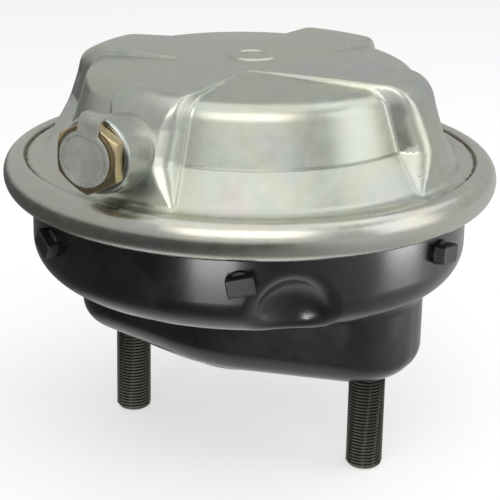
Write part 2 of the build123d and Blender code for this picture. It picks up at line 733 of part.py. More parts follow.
with BuildPart() as rod_nut:
    with BuildSketch(Plane.XY.offset(PLATE_TOP - NUT_T)):
        RegularPolygon(NUT_AF / 2, 6, major_radius=False)
        Circle(SPIGOT_R + SLIP, mode=Mode.SUBTRACT)
    extrude(amount=NUT_T - GAP)
finish(rod_nut, "rod_nut")


# ============================================ seal collar, bellows and their rings
with BuildPart() as seal_collar:
    with BuildSketch(Plane.XZ):
        with BuildLine():
            Polyline(
                (COLLAR_R, -COLLAR_OUT),
                (OPENING_R - 5 * SLIP, -COLLAR_OUT),
                (OPENING_R - 5 * SLIP, STIFFENER_TOP),
                (COLLAR_LIP_R, STIFFENER_TOP),
                (COLLAR_LIP_R, COLLAR_TOP),
                (COLLAR_R, COLLAR_TOP),
                close=True,
            )
        make_face()
    revolve(axis=Axis.Z)
    fillet(seal_collar.edges().group_by(Axis.Z)[0], 1.0)
finish(seal_collar, "seal_collar")

bead_top = COLLAR_TOP + BELLOWS_BEAD_T
fold_pitch = (GROOVE_Z - bead_top) / BELLOWS_FOLDS
wall_shift = BELLOWS_T * ROOT2
with BuildPart() as bellows:
    outside = []
    for fold in range(BELLOWS_FOLDS):
        share = fold / (BELLOWS_FOLDS - 1)
        crest = BELLOWS_R_LOW + share * (BELLOWS_R_HIGH - BELLOWS_R_LOW)
        outside.append((crest - BELLOWS_DEPTH, bead_top + fold * fold_pitch))
        outside.append((crest, bead_top + (fold + 0.5) * fold_pitch))
    inside = [(r - wall_shift, z) for r, z in outside]
    with BuildSketch(Plane.XZ):
        with BuildLine():
            Polyline(
                (BELLOWS_BEAD_R, COLLAR_TOP),
                (BELLOWS_BEAD_R, bead_top),
                *outside,
                (BELLOWS_CUFF_R, GROOVE_Z),
                (BELLOWS_CUFF_R, GROOVE_Z + GROOVE_L - GAP),
                (GROOVE_R + SLIP, GROOVE_Z + GROOVE_L - GAP),
                (GROOVE_R + SLIP, GROOVE_Z + GAP),
                (ROD_R + GAP, GROOVE_Z + GAP),
                (ROD_R + GAP, GROOVE_Z - OVER),
                *reversed(inside[1:]),
                (BELLOWS_R_LOW - BELLOWS_DEPTH - wall_shift, COLLAR_TOP),
                close=True,
            )
        make_face()
    revolve(axis=Axis.Z)
finish(bellows, "bellows")

with BuildPart() as bellows_clamp:
    with BuildSketch(Plane.XY.offset(GROOVE_Z + CLAMP_T)):
        Circle(BELLOWS_CUFF_R + CLAMP_T)
        Circle(BELLOWS_CUFF_R, mode=Mode.SUBTRACT)
    extrude(amount=GROOVE_L - 2 * CLAMP_T)
finish(bellows_clamp, "bellows_clamp")

with BuildPart() as bellows_retainer:
    with BuildSketch(Plane.XY.offset(bead_top)):
        Circle(COLLAR_LIP_R)
        Circle(BELLOWS_R_LOW + OVER, mode=Mode.SUBTRACT)
    extrude(amount=SEAT_T)
finish(bellows_retainer, "bellows_retainer")


# ================================================================= return spring
seat_inner = COLLAR_LIP_R + GAP
with BuildPart() as spring_seat:
    with BuildSketch(Plane.XZ):
        with BuildLine():
            Polyline(
                (seat_inner, STIFFENER_TOP),
                (SEAT_R, STIFFENER_TOP),
                (SEAT_R, STIFFENER_TOP + SEAT_T),
                (seat_inner + SEAT_RIM_T, STIFFENER_TOP + SEAT_T),
                (seat_inner + SEAT_RIM_T, STIFFENER_TOP + SEAT_RIM_H),
                (seat_inner, STIFFENER_TOP + SEAT_RIM_H),
                close=True,
            )
        make_face()
    revolve(axis=Axis.Z)
finish(spring_seat, "spring_seat")

spring_low = STIFFENER_TOP + SEAT_T + SPRING_WIRE_R + GAP
spring_high = PLATE_TOP - PLATE_T - SPRING_WIRE_R - GAP
spring_h = spring_high - spring_low
with BuildPart() as return_spring:
    with BuildLine() as coil:
        Helix(
            pitch=spring_h / SPRING_TURNS,
            height=spring_h,
            radius=SPRING_R_LOW,
            center=(0, 0, spring_low),
            cone_angle=degrees(atan2(SPRING_R_HIGH - SPRING_R_LOW, spring_h)),
        )
    with BuildSketch(Plane(origin=coil.line @ 0, z_dir=coil.line % 0)):
        Circle(SPRING_WIRE_R)
    sweep(is_frenet=True)
finish(return_spring, "return_spring")
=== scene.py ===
# %% [markdown]
# # A service brake chamber, dressed for the picture
# A brake chamber is a pressed steel can with a rubber diaphragm in it.  Air comes in at
# the port, pushes on the diaphragm, and the push rod comes out between the two studs.
# The CAD frame already holds every piece at its true size.  This notebook gives each
# visible piece its finished surface: rolled edges, threads, plating and coating.

import bpy
import json
import math
import numpy as np
from mathutils import Matrix, Vector


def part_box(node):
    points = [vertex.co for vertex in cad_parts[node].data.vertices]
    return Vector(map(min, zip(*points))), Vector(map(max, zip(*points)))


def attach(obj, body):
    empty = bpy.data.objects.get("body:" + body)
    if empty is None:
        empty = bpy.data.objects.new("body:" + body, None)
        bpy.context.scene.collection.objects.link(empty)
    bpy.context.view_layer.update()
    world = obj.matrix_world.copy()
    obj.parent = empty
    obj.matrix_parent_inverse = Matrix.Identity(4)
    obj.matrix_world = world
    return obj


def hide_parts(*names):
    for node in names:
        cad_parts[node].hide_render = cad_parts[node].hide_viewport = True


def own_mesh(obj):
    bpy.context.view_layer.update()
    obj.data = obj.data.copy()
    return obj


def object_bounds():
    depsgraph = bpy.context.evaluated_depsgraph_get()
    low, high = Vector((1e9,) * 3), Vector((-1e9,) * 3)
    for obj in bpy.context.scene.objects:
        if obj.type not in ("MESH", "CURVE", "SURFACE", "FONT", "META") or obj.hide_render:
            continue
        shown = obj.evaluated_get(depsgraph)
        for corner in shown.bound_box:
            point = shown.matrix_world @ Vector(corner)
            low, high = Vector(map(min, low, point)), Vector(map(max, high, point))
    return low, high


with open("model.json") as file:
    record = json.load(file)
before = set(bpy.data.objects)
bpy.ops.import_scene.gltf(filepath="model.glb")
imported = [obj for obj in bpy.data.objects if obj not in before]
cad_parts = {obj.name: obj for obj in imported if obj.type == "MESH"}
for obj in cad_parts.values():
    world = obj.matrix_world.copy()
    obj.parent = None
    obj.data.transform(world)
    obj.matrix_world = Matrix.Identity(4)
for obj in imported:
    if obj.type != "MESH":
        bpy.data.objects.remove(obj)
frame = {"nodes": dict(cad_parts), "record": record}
cad_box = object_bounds()
MM = 0.001
scene = bpy.context.scene
print("pieces in the frame:", len(frame["nodes"]))

# %% [markdown]
# ## Camera
# A small product like this is pictured from a little above, from near enough that the
# front of the rim looks larger than its back.  The camera is set by its place and by the
# azimuth and height it looks from.  A long lens keeps the two studs almost parallel.  The
# camera leans by about one degree, as a hand-held one does.

# %% The camera
CAMERA_PLACE = Vector((0.35721, -0.65308, 0.30338))
CAMERA_AZIMUTH = math.radians(28.623)
CAMERA_HEIGHT = math.radians(19.288)
CAMERA_LEAN = math.radians(1.126)
CAMERA_LENS = 128.04


def camera_axes(azimuth, height, lean):
    """Right, up and back directions of a camera that looks from an azimuth and a height."""
    right = Vector((math.cos(azimuth), math.sin(azimuth), 0))
    back = Vector((math.sin(azimuth), -math.cos(azimuth), math.tan(height))).normalized()
    up = back.cross(right)
    leaning_right = right * math.cos(lean) + up * math.sin(lean)
    leaning_up = up * math.cos(lean) - right * math.sin(lean)
    return leaning_right, leaning_up, back


right, up, back = camera_axes(CAMERA_AZIMUTH, CAMERA_HEIGHT, CAMERA_LEAN)
camera = bpy.data.objects.new("camera", bpy.data.cameras.new("camera"))
scene.collection.objects.link(camera)
camera.matrix_world = Matrix((right, up, back)).transposed().to_4x4()
camera.location = CAMERA_PLACE
camera.data.lens = CAMERA_LENS
camera.data.sensor_width = 36
camera.data.clip_start = 0.01
scene.camera = camera
scene.view_settings.view_transform = "Standard"
print("camera is", round(CAMERA_PLACE.length, 3), "m from the mounting face")

# %% [markdown]
# ## Stage and light
# The floor is white for the camera, but it still takes the object's shadow.  That comes
# from the Light Path node, so no lamp has to burn the object out to make the background
# white.  What metal mirrors is dimmer: a painted glow on the floor, which stands for a
# floor lit by one lamp, and the soft grey of a studio's walls, because a satin metal in an
# all-white room shows little of its form.

# %% Helpers for nodes
def new_material(name):
    """An empty node material, its node tree and its output node."""
    material = bpy.data.materials.new(name)
    material.use_nodes = True
    tree = material.node_tree
    tree.nodes.clear()
    output = tree.nodes.new("ShaderNodeOutputMaterial")
    return material, tree, output


def wired(tree, kind, inputs, **settings):
    """A node with its settings; each input is a socket to link or a plain value."""
    node = tree.nodes.new(kind)
    for setting, value in settings.items():
        setattr(node, setting, value)
    for key, value in inputs.items():
        if isinstance(value, bpy.types.NodeSocket):
            tree.links.new(value, node.inputs[key])
        else:
            node.inputs[key].default_value = value
    return node


def math_of(tree, operation, *values):
    """Result of a math node on sockets or numbers."""
    return wired(tree, "ShaderNodeMath", dict(enumerate(values)), operation=operation).outputs[0]


def vector_of(tree, operation, output, *values):
    """The named output of a vector math node on sockets or vectors."""
    node = wired(tree, "ShaderNodeVectorMath", dict(enumerate(values)), operation=operation)
    return node.outputs[output]


def mapped(tree, value, old, new, ends="LINEAR"):
    """A value carried from one range to another."""
    inputs = {"Value": value, "From Min": old[0], "From Max": old[1], "To Min": new[0], "To Max": new[1]}
    return wired(tree, "ShaderNodeMapRange", inputs, interpolation_type=ends).outputs["Result"]


def object_place(tree):
    """The place of a shaded point in its object's own coordinates, in metres."""
    return tree.nodes.new("ShaderNodeTexCoord").outputs["Object"]


def axis_distance(tree, place):
    """Distance of a place from the Z axis: the length of (x, y, 0)."""
    flat = vector_of(tree, "MULTIPLY", "Vector", place, (1, 1, 0))
    return vector_of(tree, "LENGTH", "Value", flat)


# %% The floor's material
def floor_material():
    """White to camera and transmission rays, a painted glow to glossy ones, else paper.

    The painted glow is dim at the front left and rises to the back right, and a painted
    pool of light makes it bright again right under the object.
    """
    material, tree, output = new_material("studio_floor")
    paper = wired(tree, "ShaderNodeBsdfDiffuse", {"Color": (0.86, 0.86, 0.86, 1)}).outputs[0]
    glow = wired(tree, "ShaderNodeEmission", {"Strength": 0.55}).outputs[0]
    white = wired(tree, "ShaderNodeAddShader", {0: paper, 1: glow}).outputs[0]
    # painted light for glossy rays: a glow dim at the front left and brighter to the back right, with a
    # painted pool of light right under the object
    place = object_place(tree)
    way = (math.cos(math.radians(50)), math.sin(math.radians(50)), 0)
    along = vector_of(tree, "DOT_PRODUCT", "Value", place, way)
    fall = mapped(tree, along, (-0.20, 0.25), (0.09, 0.62), "SMOOTHSTEP")
    away = axis_distance(tree, place)
    spot = mapped(tree, away, (0.17, 0.07), (0, 0.9), "SMOOTHSTEP")
    level = math_of(tree, "MAXIMUM", fall, spot)
    painted_floor_glow = wired(tree, "ShaderNodeEmission", {"Strength": level}).outputs[0]
    path = tree.nodes.new("ShaderNodeLightPath").outputs
    seen = math_of(tree, "MAXIMUM", path["Is Camera Ray"], path["Is Transmission Ray"])
    unseen = wired(tree, "ShaderNodeMixShader", {"Fac": path["Is Glossy Ray"], 1: paper, 2: painted_floor_glow})
    choose = wired(tree, "ShaderNodeMixShader", {"Fac": seen, 1: unseen.outputs[0], 2: white})
    tree.links.new(choose.outputs[0], output.inputs["Surface"])
    return material


# %% From numbers to a mesh
def mesh_piece(name, points, faces):
    """A mesh object from points (n x 3, metres) and faces (m x 3 or 4 indices)."""
    mesh = bpy.data.meshes.new(name)
    mesh.vertices.add(len(points))
    mesh.vertices.foreach_set("co", np.asarray(points, float).ravel())
    faces = np.asarray(faces, int)
    corners = faces.shape[1]
    mesh.loops.add(faces.size)
    mesh.loops.foreach_set("vertex_index", faces.ravel())
    mesh.polygons.add(len(faces))
    mesh.polygons.foreach_set("loop_start", np.arange(0, faces.size, corners))
    mesh.polygons.foreach_set("loop_total", np.full(len(faces), corners))
    mesh.update(calc_edges=True)
    mesh.validate()
    mesh.polygons.foreach_set("use_smooth", np.ones(len(mesh.polygons), bool))
    piece = bpy.data.objects.new(name, mesh)
    scene.collection.objects.link(piece)
    return piece


# %% Floor and world
FLOOR_DROP = 0.0006
FLOOR_SIZE = 6.0
floor_z = cad_box[0][2] - FLOOR_DROP
edges = (-FLOOR_SIZE / 2, FLOOR_SIZE / 2)
floor = mesh_piece("studio_floor", [(x, y, floor_z) for y in edges for x in edges], [(0, 1, 3, 2)])
floor.data.materials.append(floor_material())

world = bpy.data.worlds.new("studio")
world.use_nodes = True
scene.world = world
sky_tree = world.node_tree
sky_tree.nodes.clear()
sky_output = sky_tree.nodes.new("ShaderNodeOutputWorld")
sky_path = sky_tree.nodes.new("ShaderNodeLightPath").outputs
# 1 for the camera, 0.64 for mirrors, 0.3 for matt surfaces
sky_share = mapped(sky_tree, sky_path["Is Glossy Ray"], (0, 1), (0.3, 0.64))
sky_level = math_of(sky_tree, "MAXIMUM", sky_path["Is Camera Ray"], sky_share)
sky = wired(sky_tree, "ShaderNodeBackground", {"Strength": sky_level})
sky_tree.links.new(sky.outputs[0], sky_output.inputs["Surface"])
print("floor at", round(floor_z, 4), "m")

# %% [markdown]
# The lamps are large soft boxes.  A satin metal shows them as broad bands, so their place
# sets where the cover looks bright and where it stays grey.  A large box and a low wide one
# stand in front, one to the right and one at the back right; the largest hangs above.

# %% Soft boxes
LAMP_AIM = Vector((0, 0, 0.07))


def soft_box(name, azimuth, height, distance, width, length, watts, tint=(1, 1, 1)):
    """A rectangular lamp that looks at the object from an azimuth and a height in degrees."""
    lamp = bpy.data.lights.new(name, "AREA")
    lamp.shape = "RECTANGLE"
    lamp.size = width
    lamp.size_y = length
    lamp.energy = watts
    lamp.color = tint
    box = bpy.data.objects.new(name, lamp)
    scene.collection.objects.link(box)
    a, h = math.radians(azimuth), math.radians(height)
    away = Vector((math.cos(a) * math.cos(h), math.sin(a) * math.cos(h), math.sin(h)))
    box.location = LAMP_AIM + away * distance
    box.rotation_euler = away.to_track_quat("Z", "Y").to_euler()
    return box


soft_box("front_box", -64, 42, 1.5, 1.5, 0.9, 6.4, (1.0, 0.985, 0.95))
soft_box("front_fill", -60, 14, 1.6, 1.9, 0.6, 1.0)
soft_box("right_box", 12, 20, 1.4, 0.8, 1.1, 2.6)
soft_box("back_box", 45, 48, 1.5, 0.9, 0.8, 1.5)
soft_box("top_box", -75, 86, 1.6, 1.7, 1.7, 5.0)
# two low strips for the black pieces alone, which need something close by to mirror
low_strips = [
    soft_box("low_front", -76, -10.5, 0.34, 0.12, 0.055, 0.27),
    soft_box("low_right", 14, -10.5, 0.34, 0.12, 0.055, 0.32),
]
coated = bpy.data.collections.new("coated")
for strip in low_strips:
    strip.light_linking.receiver_collection = coated

# %% [markdown]
# ## Ways to make a surface
# Pressed sheet metal has no sharp edges: every two faces meet in a rounding.  The simplest
# way to get that everywhere is a level field, a function that is negative inside the metal
# and positive outside.  Two fields are joined or cut with a rounding of a chosen radius,
# and the surface is where the result is zero.  Turned pieces are simpler: a profile with
# rounded corners goes once round an axis.

# %% Level fields
def round_meet(a, b, radius, cosine=0.0):
    """Intersection of two fields, its edge rounded by a radius.

    The rounding's axis lies where a = b = -R.  With u = a + R, v = b + R and c the cosine
    between the two faces' normals, a point is sqrt((u^2 + v^2 - 2 c u v) / (1 - c^2)) from
    it.  Between the two normals the field is that distance less R, elsewhere max(a, b).
    """
    u, v = a + radius, b + radius
    away = np.sqrt(np.maximum(u * u + v * v - 2 * cosine * u * v, 0) / (1 - cosine * cosine))
    between = (u > cosine * v) & (v > cosine * u)
    return np.where(between, away - radius, np.maximum(a, b))


def round_join(a, b, radius, cosine=0.0):
    """Union of two fields with a fillet: the meeting of their outsides, turned back."""
    return -round_meet(-a, -b, radius, cosine)


def field_slope(field, points, h=0.05):
    """Gradient of a field at points, by central differences: (f(p + h) - f(p - h)) / 2h."""
    slope = np.empty_like(points)
    for axis in range(3):
        ahead, behind = points.copy(), points.copy()
        ahead[:, axis] += h
        behind[:, axis] -= h
        slope[:, axis] = (field(*ahead.T) - field(*behind.T)) / (2 * h)
    return slope


def level_surface(field, low, high, step):
    """Points, normals and quads of the surface field(x, y, z) = 0, all in mm.

    Each grid cell that the surface crosses gets one point, the mean of the crossings
    v0 / (v0 - v1) on its edges.  Each grid edge that changes sign gets the quad of its four
    cells.  The points then slide onto the surface: p <- p - f grad f / |grad f|^2.
    """
    axes = [np.arange(a, b + step, step) for a, b in zip(low, high)]
    value = field(*np.meshgrid(*axes, indexing="ij"))
    inside = value < 0
    cells = np.array(value.shape) - 1
    corners = [np.array(c) for c in np.ndindex(2, 2, 2)]

    def at(grid, corner):
        return grid[tuple(slice(c, c + n) for c, n in zip(corner, cells))]

    filled = sum(at(inside, c).astype(np.int8) for c in corners)
    mixed = np.argwhere((filled > 0) & (filled < 8))
    number = np.full(cells, -1)
    number[tuple(mixed.T)] = np.arange(len(mixed))
    total = np.zeros((len(mixed), 3))
    hits = np.zeros(len(mixed))
    for axis in range(3):
        for start in corners:
            if start[axis]:
                continue
            end = start.copy()
            end[axis] = 1
            v0 = value[tuple((mixed + start).T)]
            v1 = value[tuple((mixed + end).T)]
            crossed = (v0 < 0) != (v1 < 0)
            share = np.where(crossed, v0 / np.where(crossed, v0 - v1, 1), 0)
            place = np.tile(start.astype(float), (len(mixed), 1))
            place[:, axis] += share
            total += place * crossed[:, None]
            hits += crossed
    points = np.array(low, float) + (mixed + total / hits[:, None]) * step
    quads = []
    for axis in range(3):
        one, two = (axis + 1) % 3, (axis + 2) % 3
        here = [slice(1, -1)] * 3
        here[axis] = slice(0, -1)
        ahead = list(here)
        ahead[axis] = slice(1, None)
        leaves = inside[tuple(here)] & ~inside[tuple(ahead)]
        enters = ~inside[tuple(here)] & inside[tuple(ahead)]
        for edges, turn in ((leaves, 1), (enters, -1)):
            spot = np.argwhere(edges)
            spot[:, one] += 1
            spot[:, two] += 1
            ring = []
            for back_one, back_two in ((1, 1), (0, 1), (0, 0), (1, 0))[::turn]:
                cell = spot.copy()
                cell[:, one] -= back_one
                cell[:, two] -= back_two
                ring.append(number[tuple(cell.T)])
            quads.append(np.stack(ring, axis=1))
    for _ in range(4):
        slope = field_slope(field, points)
        size = np.maximum((slope**2).sum(axis=1), 0.05)
        move = -(field(*points.T) / size)[:, None] * slope
        reach = np.maximum(np.abs(move).max(axis=1) / (0.4 * step), 1)
        points += move / reach[:, None]
    slope = field_slope(field, points)
    normals = slope / np.maximum(np.linalg.norm(slope, axis=1), 1e-9)[:, None]
    return points, normals, np.concatenate(quads)


def shaded_piece(name, points, normals, quads):
    """A mesh object from a level surface in mm, shaded with the field's normals."""
    piece = mesh_piece(name, points * MM, quads)
    piece.data.normals_split_custom_set_from_vertices(normals)
    print(name, len(points), "points", len(quads), "quads")
    return piece


# %% [markdown]
# A lathe piece is a closed profile in (radius, along the axis).  Its corners are rounded
# before it is turned, as a tool or a die leaves them.

# %% Rounded outlines
def rounded(corners, radii, steps=6):
    """Closed outline through corners (n x 2), each replaced by an arc of its radius.

    The arc of radius R in a corner of half angle h starts R / tan(h) before the corner.
    """
    outline = []
    corners = np.asarray(corners, float)
    for i, (corner, radius) in enumerate(zip(corners, radii)):
        back_way = corners[i - 1] - corner
        on_way = corners[(i + 1) % len(corners)] - corner
        u = back_way / np.linalg.norm(back_way)
        v = on_way / np.linalg.norm(on_way)
        if radius == 0:
            outline.append(corner[None])
            continue
        half_angle = np.arccos(np.clip(u @ v, -1, 1)) / 2
        reach = radius / np.tan(half_angle)
        centre = corner + (u + v) / np.linalg.norm(u + v) * radius / np.sin(half_angle)
        first = corner + u * reach - centre
        last = corner + v * reach - centre
        t = np.linspace(0, 1, steps + 1)[:, None]
        sweep = math.pi - 2 * half_angle
        arc = (np.sin((1 - t) * sweep) * first + np.sin(t * sweep) * last) / np.sin(sweep)
        outline.append(centre + arc)
    return np.concatenate(outline)


# %% Pieces on a grid of rows
def grid_piece(name, points, number, number_on, sharp):
    """Mesh between each row of point numbers and the next one, without flat triangles.

    Edges that turn by more than the sharp angle, in degrees, are shaded as sharp.
    """
    quads = np.stack((number, np.roll(number, -1, 1), np.roll(number_on, -1, 1), number_on), axis=-1)
    quads = quads.reshape(-1, 4)
    halves = np.concatenate((quads[:, [0, 1, 2]], quads[:, [0, 2, 3]]))
    a, b, c = halves.T
    used, compact = np.unique(halves[(a != b) & (b != c) & (a != c)], return_inverse=True)
    piece = mesh_piece(name, points.reshape(-1, 3)[used] * MM, compact.reshape(-1, 3))
    piece.data.set_sharp_from_angle(angle=math.radians(sharp))
    print(name, len(used), "points")
    return piece


def closed_piece(name, points, sharp):
    """A grid of points (rows, around, 3) whose first and last row are each one point."""
    number = np.arange(points.shape[0] * points.shape[1]).reshape(points.shape[:2])
    number[0] = number[0, 0]
    number[-1] = number[-1, 0]
    return grid_piece(name, points, number[:-1], number[1:], sharp)


UPRIGHT = ((0, 0, 0), (1, 0, 0), (0, 1, 0), (0, 0, 1))  # origin and axes of the part itself


def lathe_piece(name, outline, frame_axes=UPRIGHT, around=160):
    """Closed outline (radius, height) in mm turned: p = o + r (cos a x + sin a y) + h z."""
    origin, x_way, y_way, z_way = np.array(frame_axes, float)
    outline = np.asarray(outline, float)
    radius, height = outline.T
    if (radius * np.roll(height, -1) - np.roll(radius, -1) * height).sum() < 0:
        radius, height = radius[::-1], height[::-1]
    turn = np.linspace(0, 2 * np.pi, around, endpoint=False)
    spokes = np.cos(turn)[:, None] * x_way + np.sin(turn)[:, None] * y_way
    points = origin + radius[:, None, None] * spokes + height[:, None, None] * z_way
    number = np.arange(len(radius) * around).reshape(-1, around)
    number[radius < 1e-6] = number[radius < 1e-6, :1]
    return grid_piece(name, points, number, np.roll(number, -1, axis=0), 38)


# %% [markdown]
# ## Pressure cover
# The cover is pressed from one sheet.  It is a cone with a nearly flat top, and four sectors
# are pressed a few millimetres in, which leaves a raised cross that stiffens the lid.  In
# level fields that is: the cone, less the part of each sector's wedge that lies outside the
# lower sector surface.  Below its crease a wedge narrows, so the arms splay towards the rim.

# %% The cover's fields
TOP_Z = 131.4
FLOOR_Z = 88.2
FLANGE_LOW_Z = 84.1
CREASE_R, CREASE_Z = 76.5, 102.5
WALL_LEAN = math.radians(20.2)
SECTOR_LEAN = math.radians(15.8)
SPLAYS = (0.36, 0.70)  # how far each wedge edge moves in for 1 mm below the crease
FLANK_DRAFT = 0.36  # the arms' flanks lean back by this for 1 mm up
CROWN = 1 / 3250  # the top falls by r^2 times this
COVER_SHEET = 2.6
WALL_R, FOOT_R = 92.2, 91.0  # of cone and sector foot, at the floor
CONE_ROUND, SECTOR_ROUND, WEDGE_ROUND, VALLEY_ROUND = 13, 9, 4, 1.6
FOOT_SLOPE, FOOT_LEAN, FOOT_TOP = 14.5 / 14.3, math.radians(45.4), 112
CREASE_ROUND, CREASE_COSINE = 1.7, 0.867  # cosine between the normals of wall and foot
FLANK_COSINE = 0.34
FLANK_SCALE = 0.94  # 1 / sqrt(1 + draft^2), so that the leaning flank's field is in true mm
FAR = 1e3  # a level that lies far outside
# rounding of the cross's edges by height
SOFT_HEIGHTS = [88.2, 92, 95, 98, 104, 117, 122, 125, 128]
SOFT_RADII = [1.2, 2.8, 4.6, 6.5, 8, 7.5, 5, 3.2, 2.2]
FLANGE_R, FLANGE_T, STEP_R = 103.6, 3, 96.8
PIT_X, PIT_Y, PIT_R = -6.3, -62.5, 1.6
# inner corner of each wedge, then the directions of its two edges in degrees
WEDGES = [(11.0, -24.5, -90.0, 10.4), (-22.0, -20.5, -180.0, -94.5)]


def wedge(x, y, corner_x, corner_y, low, high):
    """Plan field of a wedge: to the left of its low edge and to the right of its high one."""
    dx, dy = x - corner_x, y - corner_y
    a, b = math.radians(low), math.radians(high)
    return dx * math.sin(a) - dy * math.cos(a), dy * math.cos(b) - dx * math.sin(b)


def cover_form(x, y, z):
    """Outside of the cover without its flange, as a solid."""
    r = np.hypot(x, y)
    below_top = z - TOP_Z + CROWN * r**2
    wall = (r - WALL_R + (z - FLOOR_Z) * math.tan(WALL_LEAN)) * math.cos(WALL_LEAN)
    cone = round_meet(wall, below_top, CONE_ROUND, math.sin(WALL_LEAN))
    low_wall = (r - CREASE_R + (z - CREASE_Z) * math.tan(SECTOR_LEAN)) * math.cos(SECTOR_LEAN)
    depth = np.interp(r, [28, 64], [0.75, 2.8])
    sector = round_meet(low_wall, below_top + depth, SECTOR_ROUND, math.sin(SECTOR_LEAN))
    foot = (r - FOOT_R + (z - FLOOR_Z) * FOOT_SLOPE) * math.cos(FOOT_LEAN)
    sector = round_join(sector, np.maximum(foot, z - FOOT_TOP), CREASE_ROUND, CREASE_COSINE)
    drop = np.maximum(CREASE_Z - z, 0)
    draft = FLANK_DRAFT * np.clip(sector, 0, 12)
    wedges = np.full(np.shape(x), FAR)
    for half_turn in (1, -1):
        for shape in WEDGES:
            first, second = wedge(x * half_turn, y * half_turn, *shape)
            first, second = first + drop * SPLAYS[0] - draft, second + drop * SPLAYS[1] - draft
            wedges = np.minimum(wedges, round_meet(first, second, WEDGE_ROUND))
    cross = round_join(-wedges * FLANK_SCALE, sector, VALLEY_ROUND, FLANK_COSINE)
    return round_meet(cone, cross, np.interp(z, SOFT_HEIGHTS, SOFT_RADII), FLANK_COSINE)


def cover_field(x, y, z):
    """The cover as a sheet with its flange and one small pit."""
    r = np.hypot(x, y)
    form = cover_form(x, y, z)
    step_flange = np.maximum(r - STEP_R, z - FLOOR_Z)
    thin_flange = round_meet(r - FLANGE_R, z - (FLANGE_LOW_Z + FLANGE_T), 1.5)
    flange = round_join(step_flange, thin_flange, 0.6)
    skin = round_join(form, flange, 2.2)
    pit = np.sqrt((x - PIT_X) ** 2 + (y - PIT_Y) ** 2 + (z - TOP_Z - 0.5) ** 2) - PIT_R
    skin = np.maximum(skin, -pit)
    sheet = np.maximum(skin, -(form + COVER_SHEET))
    return np.maximum(sheet, FLANGE_LOW_Z - z)


cover_surface = level_surface(cover_field, (-106, -106, 82), (106, 106, 134), 1.1)
cover = shaded_piece("cover_sheet", *cover_surface)
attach(cover, "chamber")
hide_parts("pressure_cover")

# %% [markdown]
# The small flat ring on top is struck into the sheet by a round punch.  It is under a
# millimetre high, too fine for the cover's grid, so it is a lathe piece of its own.

# %% The embossed ring
mark_corners = [(5.9, -0.8), (5.9, -0.02), (6.8, 0.68), (10.9, 0.68), (11.8, -0.05), (11.8, -0.8)]
mark_outline = rounded(mark_corners, (0, 0.3, 0.6, 0.6, 0.3, 0), 6) + np.array((0, TOP_Z))
ring_mark = lathe_piece("ring_mark", mark_outline, around=120)
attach(ring_mark, "chamber")
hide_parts("pressure_cover")

# %% [markdown]
# ## Housing
# The lower half is a bowl with a long pad under it, drawn in one press stroke.  Where bowl
# and pad meet, the sheet flows round, so this join gets a fillet of several millimetres.
# Two balls pressed into the bowl make room for what is mounted beside it.

# %% The housing's fields
SHEET = 3.0
PAD_FLOOR = 4.0
PAD_END_X = 81.3
BOWL_R = 94.4
OPENING_R = 29.9
RIM_LOW_Z, RIM_TOP_Z = 75.5, 78.5
DIMPLE_R, DIMPLE_OUT, DIMPLE_Z = 20, 102.6, 45.5
DIMPLE_TURNS = [math.radians(a) for a in (-50, 130)]


def bowl_field(r, z):
    """Bowl: a cylinder, and an underside that falls ten degrees towards the middle."""
    fall = math.radians(10)
    edge_r, edge_z = 86.1, 38.3
    under = (edge_z - (edge_r - r) * math.tan(fall) - z) * math.cos(fall)
    return round_meet(r - BOWL_R, under, 16, math.sin(fall))


def pad_field(x, y, z):
    """Long six-sided pad, its two blunt corners rounded by 70 mm and its ends by 28 mm."""
    lean_x, lean_y = 21.6 / 81.9, 79.0 / 81.9
    flank = (np.abs(y) - 24) * lean_y
    blunt = round_meet((x - 79) * lean_x + flank, (-x - 79) * lean_x + flank, 70, lean_y**2 - lean_x**2)
    plan = round_meet(blunt, np.abs(x) - PAD_END_X, 28, lean_x)
    return np.maximum(round_meet(plan, -z, 12), z - 60)


def housing_form(x, y, z):
    """Outside of the housing without its flange, as a solid."""
    r = np.hypot(x, y)
    body = round_join(bowl_field(r, z), pad_field(x, y, z), 5)
    for a in DIMPLE_TURNS:
        across, up = x - DIMPLE_OUT * math.cos(a), y - DIMPLE_OUT * math.sin(a)
        ball = np.sqrt(across**2 + up**2 + (z - DIMPLE_Z) ** 2) - DIMPLE_R
        body = round_meet(body, -ball, 4)
    return body


def housing_field(x, y, z):
    """The housing as a sheet, open at the top and at the rod, with its flange."""
    r = np.hypot(x, y)
    form = housing_form(x, y, z)
    flange = np.maximum(r - FLANGE_R, np.maximum(RIM_LOW_Z - z, z - RIM_TOP_Z))
    skin = round_join(form, flange, 2.0)
    hollow = np.maximum(form + SHEET, PAD_FLOOR - z)
    sheet = np.maximum(skin, -hollow)
    sheet = np.maximum(sheet, -(r - OPENING_R) - 2 * np.maximum(z - 8, 0))
    return np.maximum(sheet, z - RIM_TOP_Z)


bowl_surface = level_surface(housing_field, (-106, -106, -2), (106, 106, 80), 1.3)
bowl = shaded_piece("housing_sheet", *bowl_surface)
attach(bowl, "chamber")
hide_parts("housing")
coated.objects.link(bowl)

# %% [markdown]
# ## Crimp ring
# A strip of sheet is rolled round both flanges.  Its outside is half an ellipse, and its
# two lips end in the round edge that the roller leaves, so one turned profile is enough.

# %% The ring
RING_MIDDLE = 81.3
RING_SIDE_R, RING_WIDE, RING_TALL = 99.9, 6.8, 8.0
LIP_R, LIP_ROUND = 98.9, 1.1
bulge = np.linspace(-math.pi / 2, math.pi / 2, 41)
bulge_r = RING_SIDE_R + RING_WIDE * np.cos(bulge)
outside = np.stack((bulge_r, RING_MIDDLE + RING_TALL * np.sin(bulge)), axis=1)


def lip(side):
    """Round end of the upper lip (side 1) or the lower one (side -1)."""
    t = np.linspace(0, math.pi, 9)
    middle = RING_MIDDLE + side * (RING_TALL - LIP_ROUND)
    return np.stack((LIP_R - LIP_ROUND * np.sin(t), middle + side * LIP_ROUND * np.cos(t)), axis=1)


